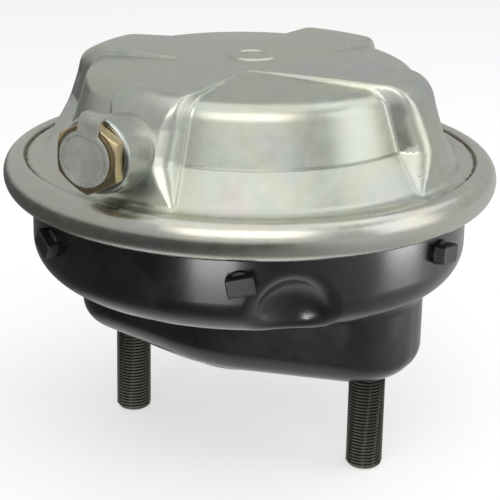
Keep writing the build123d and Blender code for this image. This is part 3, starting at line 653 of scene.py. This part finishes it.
inner_corners = [(LIP_R, 87.1), (104.0, 87.1), (104.0, RIM_LOW_Z), (LIP_R, RIM_LOW_Z)]
inner_side = rounded(inner_corners, (0, 2.8, 2.8, 0), 5)
ring_outline = np.concatenate((outside, lip(1), inner_side[1:-1], lip(-1)[::-1]))
ring = lathe_piece("rolled_ring", ring_outline, around=320)
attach(ring, "chamber")
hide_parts("crimp_ring")

# %% [markdown]
# ## Studs
# The thread is a real helix.  On a grid of turns and heights the radius is the outer one
# less a trapezoid wave of (height / pitch - turn): crests, flanks and roots in one formula.
# At its free end a chamfer cuts the crests of the first turns.

# %% Threaded studs
STUD_X = 120.65 / 2
PITCH = 1.5
SHANK_L = 8.9  # plain stretch above the thread


def thread_piece(name, centre_x, low, high, outer, depth, shank, samples=9, around=72):
    """Stud along Z: r = outer - depth w(frac(z / P - a / 2 pi)), cut by its end chamfer.

    w is 0 on the crest, 1 in the root and straight on the flanks.
    """
    heights = np.linspace(low, high, int((high - low) / PITCH * samples) + 1)
    turn = np.linspace(0, 2 * np.pi, around, endpoint=False)
    z, a = np.meshgrid(heights, turn, indexing="ij")
    phase = (z / PITCH - a / (2 * np.pi)) % 1
    wave = np.clip(3.0 - np.abs(phase - 0.5) * 7.0, 0, 1)
    radius = np.minimum(outer - depth * wave, outer - 1.5 + (z - low))
    row = np.zeros((1, around))
    top = row + high + SHANK_L
    radii = np.concatenate((row, radius, row + shank, row + shank, row))
    levels = np.concatenate((row + low, z, row + high, top, top))
    points = np.stack((centre_x + radii * np.cos(turn), radii * np.sin(turn), levels), axis=-1)
    return closed_piece(name, points, 32)


stud_pieces = []
for side, stud_name in ((-1, "left_stud"), (1, "right_stud")):
    stud = thread_piece(stud_name, side * STUD_X, low=-46.0, high=0.1, outer=8.0, depth=0.92, shank=8.5)
    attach(stud, "chamber")
    stud_pieces.append(stud)

# %% [markdown]
# The studs' heads sit inside the housing, on the stiffener.  A short turned disc stands for
# each, and the two threads and two heads together replace the CAD's plain studs.

# %% Stud heads
for side, head_name in ((-1, "left_stud_head"), (1, "right_stud_head")):
    head_outline = rounded([(0, 9.0), (11.5, 9.0), (11.5, 15.0), (0, 15.0)], (0, 0.5, 1.5, 0), 4)
    axes = ((side * STUD_X, 0, 0), *UPRIGHT[1:])
    head = lathe_piece(head_name, head_outline, axes, 64)
    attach(head, "chamber")
    stud_pieces.append(head)
for piece in stud_pieces:
    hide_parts("mounting_studs")

# %% [markdown]
# ## Vent plugs
# Six moulded plugs close the water drains.  Each has a round collar on the bowl and a
# rectangular grip with softened edges.  The fields are written in the plug's own
# directions, then its points are turned to its place.

# %% Plugs round the bowl
PLUG_Z = 62.0
COLLAR_R, GRIP_LONG, GRIP_WIDE, GRIP_OUT = 5.4, 5.6, 3.8, 5.8
# where each plug sits round the bowl and how its grip is turned, in degrees
PLUG_SEATS = [(-120.0, -28.0), (-63.0, 12.0), (-5.0, -7.0)]


def plug_field(x, y, z):
    """Collar and grip; z points away from the bowl."""
    r = np.hypot(x, y)
    collar = round_meet(r - COLLAR_R, np.abs(z - 0.2) - 1.4, 0.8)
    grip = round_meet(np.abs(x) - GRIP_LONG, np.abs(y) - GRIP_WIDE, 0.8)
    grip = round_meet(grip, np.maximum(z - GRIP_OUT, -z), 0.7)
    return round_join(collar, grip, 0.6)


plug_points, plug_normals, plug_quads = level_surface(plug_field, (-7.5, -7.5, -2), (7.5, 7.5, 7), 0.42)
plug_pieces = []
for half_turn in (0, 180):
    for seat, (seat_angle, grip_turn) in enumerate(PLUG_SEATS):
        a = math.radians(seat_angle + half_turn)
        t = math.radians(grip_turn)
        outward = np.array((math.cos(a), math.sin(a), 0))
        sideways = np.array((-math.sin(a), math.cos(a), 0))
        along = math.cos(t) * sideways + math.sin(t) * np.array((0, 0, 1))
        across = np.cross(outward, along)
        turn_matrix = np.stack((along, across, outward))
        placed = plug_points @ turn_matrix + outward * BOWL_R + np.array((0, 0, PLUG_Z))
        plug = shaded_piece(f"plug_{seat}_{half_turn}", placed, plug_normals @ turn_matrix, plug_quads)
        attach(plug, "chamber")
        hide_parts("vent_plugs")
        coated.objects.link(plug)
        plug_pieces.append(plug)

# %% [markdown]
# ## Air port
# A turned boss is welded to the cover's wall, with the threaded bush and its cap on its
# front.  All three are written in (across, up, along) on the port's axis and share one
# frame.  The boss is a lathe piece whose tube then leans to meet the sloping wall.

# %% The boss
PORT_PLACE = np.array((-12.0, -83.2445, 110.2))
PORT_AXES = np.array(((1.0, 0, 0), (0, 0, 1.0), (0, -1.0, 0)))
BOSS_R, BOSS_L, SOCKET_R, SOCKET_L = 15.8, 20.2, 13.4, 2.0
BOSS_LEAN = math.tan(math.radians(10))

boss_corners = [(5.0, -7.0), (BOSS_R, -7.0), (BOSS_R, BOSS_L)]
boss_corners += [(SOCKET_R, BOSS_L), (SOCKET_R, BOSS_L - SOCKET_L), (5.0, BOSS_L - SOCKET_L)]
boss_outline = rounded(boss_corners, (0, 0, 1.6, 0.4, 0.3, 0), 7)
# the tube leans: everything behind its front face drops by the lean
leaning_frame = (PORT_PLACE - (0, 0, BOSS_LEAN * BOSS_L), *PORT_AXES[:2], (0, -1, BOSS_LEAN))
boss_piece = lathe_piece("boss_turned", boss_outline, leaning_frame, 200)
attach(boss_piece, "chamber")
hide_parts("port_boss")

# %% [markdown]
# The bush is screwed in by its hexagon, cut from bar and chamfered on a lathe.  Three pairs
# of flats, a cone for the chamfer and a bore meet as level fields.

# %% The hexagon
HEX_HALF, HEX_L = 13.4, 5.8
BORE_R, MOUTH_R, MOUTH_L = 7.25, 9.2, 3
CHAMFER_RUN, CHAMFER_SCALE = 1.5, 0.55  # the cone widens by the run for 1 mm down


def hexagon_field(x, y, z):
    """Hexagon with softened edges and a turned front, a thread bore and its mouth."""
    r = np.hypot(x, y)
    sides = np.full(np.shape(x), -FAR)
    for turn in (-2, 58, 118):
        a = math.radians(turn)
        flat = np.abs(x * math.cos(a) + y * math.sin(a)) - HEX_HALF
        sides = round_meet(sides, flat, 0.5, 0.5)
    block = round_meet(sides, np.maximum(z - HEX_L, -z), 0.35)
    turned = (r - HEX_HALF + (z - HEX_L) * CHAMFER_RUN) * CHAMFER_SCALE
    block = round_meet(block, turned, 0.3)
    bore = np.where(z > HEX_L - MOUTH_L, r - MOUTH_R, r - BORE_R)
    return np.maximum(block, -bore)


def place_on_port(name, field, low, high, step, lift):
    """A level surface written along the port's axis, lifted and set on the port."""
    points, normals, quads = level_surface(field, low, high, step)
    placed = (points + np.array((0, 0, lift))) @ PORT_AXES + PORT_PLACE
    return shaded_piece(name, placed, normals @ PORT_AXES, quads)


hexagon = place_on_port("hexagon_bush", hexagon_field, (-17, -17, -1), (17, 17, 7.5), 0.45, BOSS_L)
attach(hexagon, "chamber")
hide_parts("port_adapter")

# %% [markdown]
# The cap is moulded in one shot and keeps dirt out of the thread: a thin disc, a lip that
# goes into the bush and a tab to pull.  The tab is a ribbon field folded over a quarter turn.

# %% The cap
DISC_R, DISC_RIM_R, LIP_MIDDLE_R = 11.3, 9.6, 8.35
HALF_T = 0.8  # half the cap's wall
TAB_TURN, TAB_HALF, TAB_ROOT_Y, TAB_END_Z = 9, 4.75, 9, -4.9
FOLD_Y, FOLD_Z, FOLD_R = 14.4, -1.6, 2.4  # the line that the tab folds about, and its radius


def cap_field(x, y, z):
    """Disc with a raised rim, and a tab that rises from it and folds back over the hexagon."""
    r = np.hypot(x, y)
    turn = math.radians(TAB_TURN)
    x, y = x * math.cos(turn) - y * math.sin(turn), x * math.sin(turn) + y * math.cos(turn)
    layer = np.abs(z - HALF_T) - HALF_T
    disc = round_meet(r - DISC_R, layer, 0.5)
    disc = np.maximum(disc, -np.maximum(r - DISC_RIM_R, 1.25 - z))
    lip_on = round_meet(np.abs(r - LIP_MIDDLE_R) - 0.5, np.maximum(z - 0.5, -2.6 - z), 0.2)
    disc = np.minimum(disc, lip_on)
    # the fold is a quarter ring about a line across the tab
    bend = np.abs(np.hypot(y - FOLD_Y, z - FOLD_Z) - FOLD_R) - HALF_T
    folded = np.where((y > FOLD_Y) & (z > FOLD_Z), bend, FAR)
    flat = np.where(y <= FOLD_Y, layer, FAR)
    down = np.where(z <= FOLD_Z, np.abs(y - FOLD_Y - FOLD_R) - HALF_T, FAR)
    ribbon = np.minimum(np.minimum(folded, flat), down)
    ribbon = np.maximum(ribbon, np.maximum(TAB_END_Z - z, TAB_ROOT_Y - y))
    tab = round_meet(ribbon, np.abs(x) - TAB_HALF, 0.5)
    return np.maximum(round_join(disc, tab, 0.6), z - 2 * HALF_T)


cap_lift = BOSS_L + HEX_L + 0.3
cap = place_on_port("cap_moulded", cap_field, (-13.5, -13.5, -6), (13.5, 19.5, 3), 0.4, cap_lift)
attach(cap, "cap")
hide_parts("transport_cap")

# %% [markdown]
# ## Soft pieces inside
# Bellows, diaphragm and return spring give way when the rod goes out.  Each is drawn at
# rest between the same seats as its solid.


def reach_mm(node):
    """Lowest and highest corner of a node at rest, in mm."""
    return [np.array(corner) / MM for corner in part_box(node)]


def give_way(piece, node):
    """The piece stands for a soft node: it joins the chamber, hides the node and gets its own mesh."""
    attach(piece, "chamber")
    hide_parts(node)
    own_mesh(piece)


# %% [markdown]
# The bellows is moulded rubber: folds that shrink towards the rod, a bead at the bottom and
# a cuff with a groove for the clamp.  One zigzag outline with soft corners is turned.

# %% Bellows
BEAD_R, BEAD_T = 30.6, 2
CREST_LOW, CREST_HIGH, FOLD_DEPTH, FOLDS = 28.0, 19.0, 5.0, 6
WALL_SHIFT = 2.1  # wall of the bellows, measured along the radius
CUFF_R, GROOVE_R, ROD_CLEAR_R, CUFF_L = 12.0, 8.3, 9.4, 5.7

boot_low, boot_high = (corner[2] for corner in reach_mm("bellows"))
cuff_z = boot_high - CUFF_L
pitch = (cuff_z - boot_low - BEAD_T) / FOLDS
folds = []
for k, crest in enumerate(np.linspace(CREST_LOW, CREST_HIGH, FOLDS)):
    folds.append((crest - FOLD_DEPTH, boot_low + BEAD_T + pitch * k))
    folds.append((crest, boot_low + BEAD_T + pitch * (k + 0.5)))
lining = [(r - WALL_SHIFT, z) for r, z in folds[:0:-1]]
cuff = [(CUFF_R, cuff_z), (CUFF_R, boot_high), (GROOVE_R, boot_high)]
cuff += [(GROOVE_R, cuff_z + 0.3), (ROD_CLEAR_R, cuff_z + 0.3), (ROD_CLEAR_R, cuff_z - 1)]
bead = [(BEAD_R, boot_low), (BEAD_R, boot_low + BEAD_T)]
boot_corners = [*bead, *folds, *cuff, *lining, (folds[0][0] - WALL_SHIFT, boot_low)]
boot_radii = [0.4, 0.4] + [0.9] * len(folds) + [0, 0.5, 0, 0, 0, 0] + [0.7] * len(lining) + [0]
boot = lathe_piece("bellows_folds", rounded(boot_corners, boot_radii, 5), around=120)
give_way(boot, "bellows")

# %% [markdown]
# The diaphragm is a moulded rubber cup with an even wall and a thicker rim, which the two
# flanges clamp.  The real one rolls inside out.

# %% Diaphragm
SKIN_T, SKIN_RUN, SKIN_RISE, SKIN_FLAT = 3.0, 11.3, 17.0, 8.0
RIM_T, RIM_WIDTH = 5.6, 11.5


def ribbon_outline(middle, thickness):
    """Closed outline round a middle line: each corner is moved along its mitre."""
    way = np.diff(middle, axis=0)
    way /= np.linalg.norm(way, axis=1)[:, None]
    side = np.stack((-way[:, 1], way[:, 0]), axis=1)
    mitre = np.concatenate((side[:1], side[:-1] + side[1:], side[-1:]))
    mitre /= (mitre * np.concatenate((side[:1], side))).sum(axis=1)[:, None]
    return np.concatenate((middle + mitre * thickness / 2, (middle - mitre * thickness / 2)[::-1]))


plate_r = reach_mm("push_plate")[1][0]
skin_low, skin_high = reach_mm("diaphragm")
rim_z = skin_low[2] + RIM_T / 2
rim_out = skin_high[0]
rim_in = rim_out - RIM_WIDTH
top_z = skin_high[2] - SKIN_T / 2
skin_line = [(0, top_z), (plate_r + 0.3, top_z), (plate_r + SKIN_RUN, rim_z + SKIN_RISE)]
skin_line += [(rim_in - SKIN_FLAT, rim_z), (rim_in, rim_z)]
skin_outline = ribbon_outline(np.array(skin_line), SKIN_T)
rim = [(rim_in, RIM_T / 2), (rim_out, RIM_T / 2), (rim_out, -RIM_T / 2), (rim_in, -RIM_T / 2)]
skin_corners = np.concatenate((skin_outline[:5], np.array(rim) + (0, rim_z), skin_outline[5:]))
skin_radii = (0, 3, 3, 3, 0.3, 0.5, 0.8, 0.8, 0.5, 0.3, 3, 3, 3, 0)
skin = lathe_piece("diaphragm_skin", rounded(skin_corners, skin_radii, 6))
give_way(skin, "diaphragm")

# %% [markdown]
# The return spring is steel wire wound on a cone.  A circle of points is carried along the
# helix, each time nearly square to it, so the wire stays round.

# %% Return spring
WIRE_R = 2.25
COIL_LOW_R, COIL_TURNS, COIL_INSET = 35.7, 5.5, 11.0


def coil_points(low, high, low_r, high_r, around=20):
    """Rows of points round a wire whose middle line climbs and widens evenly as it turns.

    Round each place the wire's circle is p + R (cos s out - sin s up), with out away from
    the axis and up = out x along.
    """
    stations = np.linspace(0, 1, int(COIL_TURNS * 72))[:, None]
    turn = 2 * np.pi * COIL_TURNS * stations
    out = np.concatenate((np.cos(turn), np.sin(turn), 0 * turn), axis=1)
    middle = (low_r + (high_r - low_r) * stations) * out + (low + (high - low) * stations) * (0, 0, 1)
    along = np.gradient(middle, axis=0)
    up = np.cross(out, along)
    up /= np.linalg.norm(up, axis=1)[:, None]
    section = np.linspace(0, 2 * np.pi, around, endpoint=False)[:, None]
    circle = np.cos(section) * out[:, None] - np.sin(section) * up[:, None]
    ends = np.repeat(middle[[0, -1], None], around, axis=1)
    return np.concatenate((ends[:1], middle[:, None] + WIRE_R * circle, ends[1:]))


coil_low, coil_high = (corner[2] for corner in reach_mm("return_spring"))
wire = coil_points(coil_low + WIRE_R, coil_high - WIRE_R, COIL_LOW_R, plate_r - COIL_INSET)
coil = closed_piece("spring_coil", wire, 180)
give_way(coil, "return_spring")

# %% [markdown]
# ## Finishes
# Three effects come back on several finishes, so each is a shader node group.  The first
# is the cloudy, faintly coloured film of zinc plating.  The second is the fine grain of
# any real surface.  The third draws the lines that rolling and turning leave round an axis.

# %% Shader groups
def new_group(name, inputs, outputs):
    """A shader node group with the given inputs (name, type, default) and outputs."""
    group = bpy.data.node_groups.new(name, "ShaderNodeTree")
    for label, kind, value in inputs:
        socket = group.interface.new_socket(label, in_out="INPUT", socket_type=kind)
        socket.default_value = value
    for label, kind in outputs:
        group.interface.new_socket(label, in_out="OUTPUT", socket_type=kind)
    start = group.nodes.new("NodeGroupInput")
    end = group.nodes.new("NodeGroupOutput")
    return group, start, end


def noise(tree, vector, scale, detail=3.0, rough=0.5):
    """Value of a noise texture on a vector."""
    inputs = {"Vector": vector, "Scale": scale, "Detail": detail, "Roughness": rough}
    return wired(tree, "ShaderNodeTexNoise", inputs).outputs["Fac"]


def ramp(tree, value, stops):
    """Colour of a ramp fed by a value, with (place, colour) stops."""
    node = wired(tree, "ShaderNodeValToRGB", {"Fac": value})
    while len(node.color_ramp.elements) < len(stops):
        node.color_ramp.elements.new(0.5)
    for element, (place, colour) in zip(node.color_ramp.elements, stops):
        element.position = place
        element.color = (*colour, 1)
    return node.outputs["Color"]


def colour_mix(tree, share, first, second, way="MIX"):
    """Two colours mixed by a share."""
    inputs = {"Factor": share, "A": first, "B": second}
    node = wired(tree, "ShaderNodeMix", inputs, data_type="RGBA", blend_type=way)
    return node.outputs["Result"]


# %% The groups
def plating_group():
    """Colour and roughness clouds of zinc plating: a wide tint and a fine mottle."""
    sockets = [("Base", "NodeSocketColor", (0.6, 0.6, 0.6, 1)), ("Tint", "NodeSocketFloat", 0.5)]
    results = [("Color", "NodeSocketColor"), ("Cloud", "NodeSocketFloat")]
    group, start, end = new_group("zinc_plating", sockets, results)
    place = object_place(group)
    wide = noise(group, place, 21.0, 2.0)
    film_stops = [(0.30, (1.00, 0.93, 0.97)), (0.42, (0.93, 1.00, 0.95)), (0.52, (1.00, 0.99, 0.88))]
    film_stops += [(0.62, (0.90, 0.96, 1.00)), (0.72, (1.00, 0.94, 0.90))]
    film = ramp(group, wide, film_stops)
    tinted = colour_mix(group, start.outputs["Tint"], start.outputs["Base"], film, "MULTIPLY")
    fine = noise(group, place, 160.0, 5.0, 0.6)
    mottle = ramp(group, fine, [(0.3, (0.90, 0.90, 0.90)), (0.7, (1, 1, 1))])
    group.links.new(colour_mix(group, 1.0, tinted, mottle, "MULTIPLY"), end.inputs["Color"])
    group.links.new(fine, end.inputs["Cloud"])
    return group


def grain_group():
    """Fine speckle for roughness and bump, less than a millimetre across."""
    sockets = [("Scale", "NodeSocketFloat", 1500.0)]
    results = [("Speckle", "NodeSocketFloat")]
    group, start, end = new_group("fine_grain", sockets, results)
    place = object_place(group)
    speckle = noise(group, place, start.outputs["Scale"], 4.0, 0.65)
    group.links.new(speckle, end.inputs["Speckle"])
    return group


def unrolled(tree, share):
    """(radius, height, angle times a share) of a shaded point, round the Z axis."""
    place = object_place(tree)
    x, y, z = wired(tree, "ShaderNodeSeparateXYZ", {0: place}).outputs
    angle = math_of(tree, "MULTIPLY", math_of(tree, "ARCTAN2", y, x), share)
    inputs = {"X": axis_distance(tree, place), "Y": z, "Z": angle}
    return wired(tree, "ShaderNodeCombineXYZ", inputs).outputs[0]


def lines_group():
    """Lines round the Z axis: noise on (radius, height), stretched along the circle."""
    sockets = [("Fineness", "NodeSocketFloat", 1800.0)]
    results = [("Lines", "NodeSocketFloat")]
    group, start, end = new_group("turned_lines", sockets, results)
    streaks = noise(group, unrolled(group, 0.0022), start.outputs["Fineness"], 3.0, 0.6)
    group.links.new(streaks, end.inputs["Lines"])
    return group


plating = plating_group()
grain = grain_group()
lines = lines_group()
print("groups:", [g.name for g in (plating, grain, lines)])


# %% Parts of a finish
def use_group(tree, group, **values):
    """A group node with some of its inputs set."""
    node = tree.nodes.new("ShaderNodeGroup")
    node.node_tree = group
    for label, value in values.items():
        node.inputs[label].default_value = value
    return node


def span(tree, value, low, high):
    """A value from 0.25..0.75 mapped to low..high, as noise fills that range."""
    return mapped(tree, value, (0.25, 0.75), (low, high))


def add_bump(tree, height, distance, strength, shader, before=None):
    """A bump from a height, chained after another bump if there is one."""
    inputs = {"Height": height, "Distance": distance, "Strength": strength}
    if before is not None:
        inputs["Normal"] = before.outputs["Normal"]
    node = wired(tree, "ShaderNodeBump", inputs)
    tree.links.new(node.outputs["Normal"], shader.inputs["Normal"])
    return node


# %% [markdown]
# Zinc on pressed steel is a mirror that has gone cloudy: fully metallic, with a roughness
# near 0.3, a pale film of colour that drifts over centimetres, and a grain too small to
# see except where it breaks up a highlight.

# %% Zinc finishes
def painted_crease_shade(tree, colour, radius, height):
    """Painted shade: colour darkened in a line some 1.5 mm wide round the axis, at a radius and a height
    in m.
    """
    gap = vector_of(tree, "DISTANCE", "Value", unrolled(tree, 0), (radius, height, 0))
    line = mapped(tree, gap, (0.0004, 0.0011), (0.55, 0.0), "SMOOTHSTEP")
    return colour_mix(tree, line, colour, (0.16, 0.16, 0.14, 1))


def zinc_finish(name, base, rough, tint, line_depth, crease=None):
    """Satin metal: film tint, painted crease shade, cloudy roughness, grain, lines round the axis if
    asked.
    """
    material, tree, output = new_material(name)
    film = use_group(tree, plating, Base=(*base, 1), Tint=tint)
    colour = film.outputs["Color"]
    if crease:
        # painted shade: a dark line along the crease, where shade would fall
        colour = painted_crease_shade(tree, colour, *crease)
    cloudy = span(tree, film.outputs["Cloud"], rough - 0.05, rough + 0.06)
    inputs = {"Metallic": 1.0, "Base Color": colour, "Roughness": cloudy}
    shader = wired(tree, "ShaderNodeBsdfPrincipled", inputs)
    speckle = use_group(tree, grain, Scale=1300.0)
    bump = add_bump(tree, speckle.outputs["Speckle"], 0.00003, 0.35, shader)
    if line_depth:
        streaks = use_group(tree, lines, Fineness=1600.0)
        add_bump(tree, streaks.outputs["Lines"], line_depth, 0.5, shader, bump)
    tree.links.new(shader.outputs[0], output.inputs["Surface"])
    return material


def coat_finish(name, base, rough, grain_scale, grain_depth, coat=0.0):
    """Coating, rubber or plastic: nearly flat colour, uneven gloss, fine orange peel."""
    material, tree, output = new_material(name)
    place = object_place(tree)
    dust = noise(tree, place, 60.0, 6.0, 0.62)
    low = tuple(c * 0.75 for c in base)
    high = tuple(min(1.0, c * 1.5 + 0.004) for c in base)
    tone = ramp(tree, dust, [(0.35, low), (0.68, high)])
    gloss = span(tree, dust, rough - 0.05, rough + 0.07)
    inputs = {"Coat Weight": coat, "Coat Roughness": 0.18, "Base Color": tone, "Roughness": gloss}
    shader = wired(tree, "ShaderNodeBsdfPrincipled", inputs)
    speckle = use_group(tree, grain, Scale=grain_scale)
    add_bump(tree, speckle.outputs["Speckle"], grain_depth, 0.5, shader)
    tree.links.new(shader.outputs[0], output.inputs["Surface"])
    return material


# %% [markdown]
# Coating, rubber and plastic are no metals: they take a nearly flat colour, and gloss and
# grain tell them apart.  Every solid of the frame gets the finish its record names.

# %% All finishes, and what wears them
# base colour, roughness, film tint, depth of the lines in metres, place of the painted crease shade
METALS = {
    "zinc_sheet": ((0.66, 0.665, 0.61), 0.30, 0.8, 0.0, (CREASE_R * MM, CREASE_Z * MM)),
    "zinc_ring": ((0.66, 0.655, 0.60), 0.26, 0.5, 0.00006),
    "zinc_boss": ((0.58, 0.595, 0.57), 0.28, 0.4, 0.0),
    "zinc_inner": ((0.52, 0.53, 0.50), 0.42, 0.3, 0.0),
    "rod_steel": ((0.42, 0.42, 0.41), 0.36, 0.2, 0.00003),
    "spring_steel": ((0.13, 0.14, 0.15), 0.45, 0.2, 0.0),
    "dark_steel": ((0.15, 0.15, 0.132), 0.38, 0.2, 0.0),
    "gold_chromate": ((0.66, 0.53, 0.32), 0.30, 0.8, 0.0),
}
# base colour, roughness, scale and depth of the grain, clear coat
COATS = {
    "black_coat": ((0.0045, 0.0045, 0.0045), 0.27, 700.0, 0.00003, 0.4),
    "black_plastic": ((0.010, 0.010, 0.010), 0.40, 900.0, 0.00006),
    "clear_cap": ((0.36, 0.37, 0.34), 0.38, 500.0, 0.00004),
    "collar_plastic": ((0.05, 0.05, 0.048), 0.5, 900.0, 0.00005),
    "seal_rubber": ((0.012, 0.012, 0.012), 0.6, 900.0, 0.00004),
    "diaphragm_rubber": ((0.014, 0.014, 0.015), 0.62, 1400.0, 0.0001),
    "bellows_rubber": ((0.013, 0.013, 0.013), 0.58, 1100.0, 0.00006),
}
finishes = {name: zinc_finish(name, *look) for name, look in METALS.items()}
finishes |= {name: coat_finish(name, *look) for name, look in COATS.items()}
dressed = {
    "zinc_sheet": [cover, ring_mark],
    "zinc_ring": [ring],
    "zinc_boss": [boss_piece],
    "black_coat": [bowl],
    "black_plastic": plug_pieces,
    "dark_steel": stud_pieces,
    "gold_chromate": [hexagon],
    "clear_cap": [cap],
    "bellows_rubber": [boot],
    "diaphragm_rubber": [skin],
    "spring_steel": [coil],
}
for slot_name, pieces in dressed.items():
    for piece in pieces:
        piece.data.materials.append(finishes[slot_name])
for part in frame["record"]["subparts"]:
    mesh = frame["nodes"][part["node"]].data
    mesh.materials.clear()
    mesh.materials.append(finishes[part["material_slot"]])
print("finishes:", len(finishes))
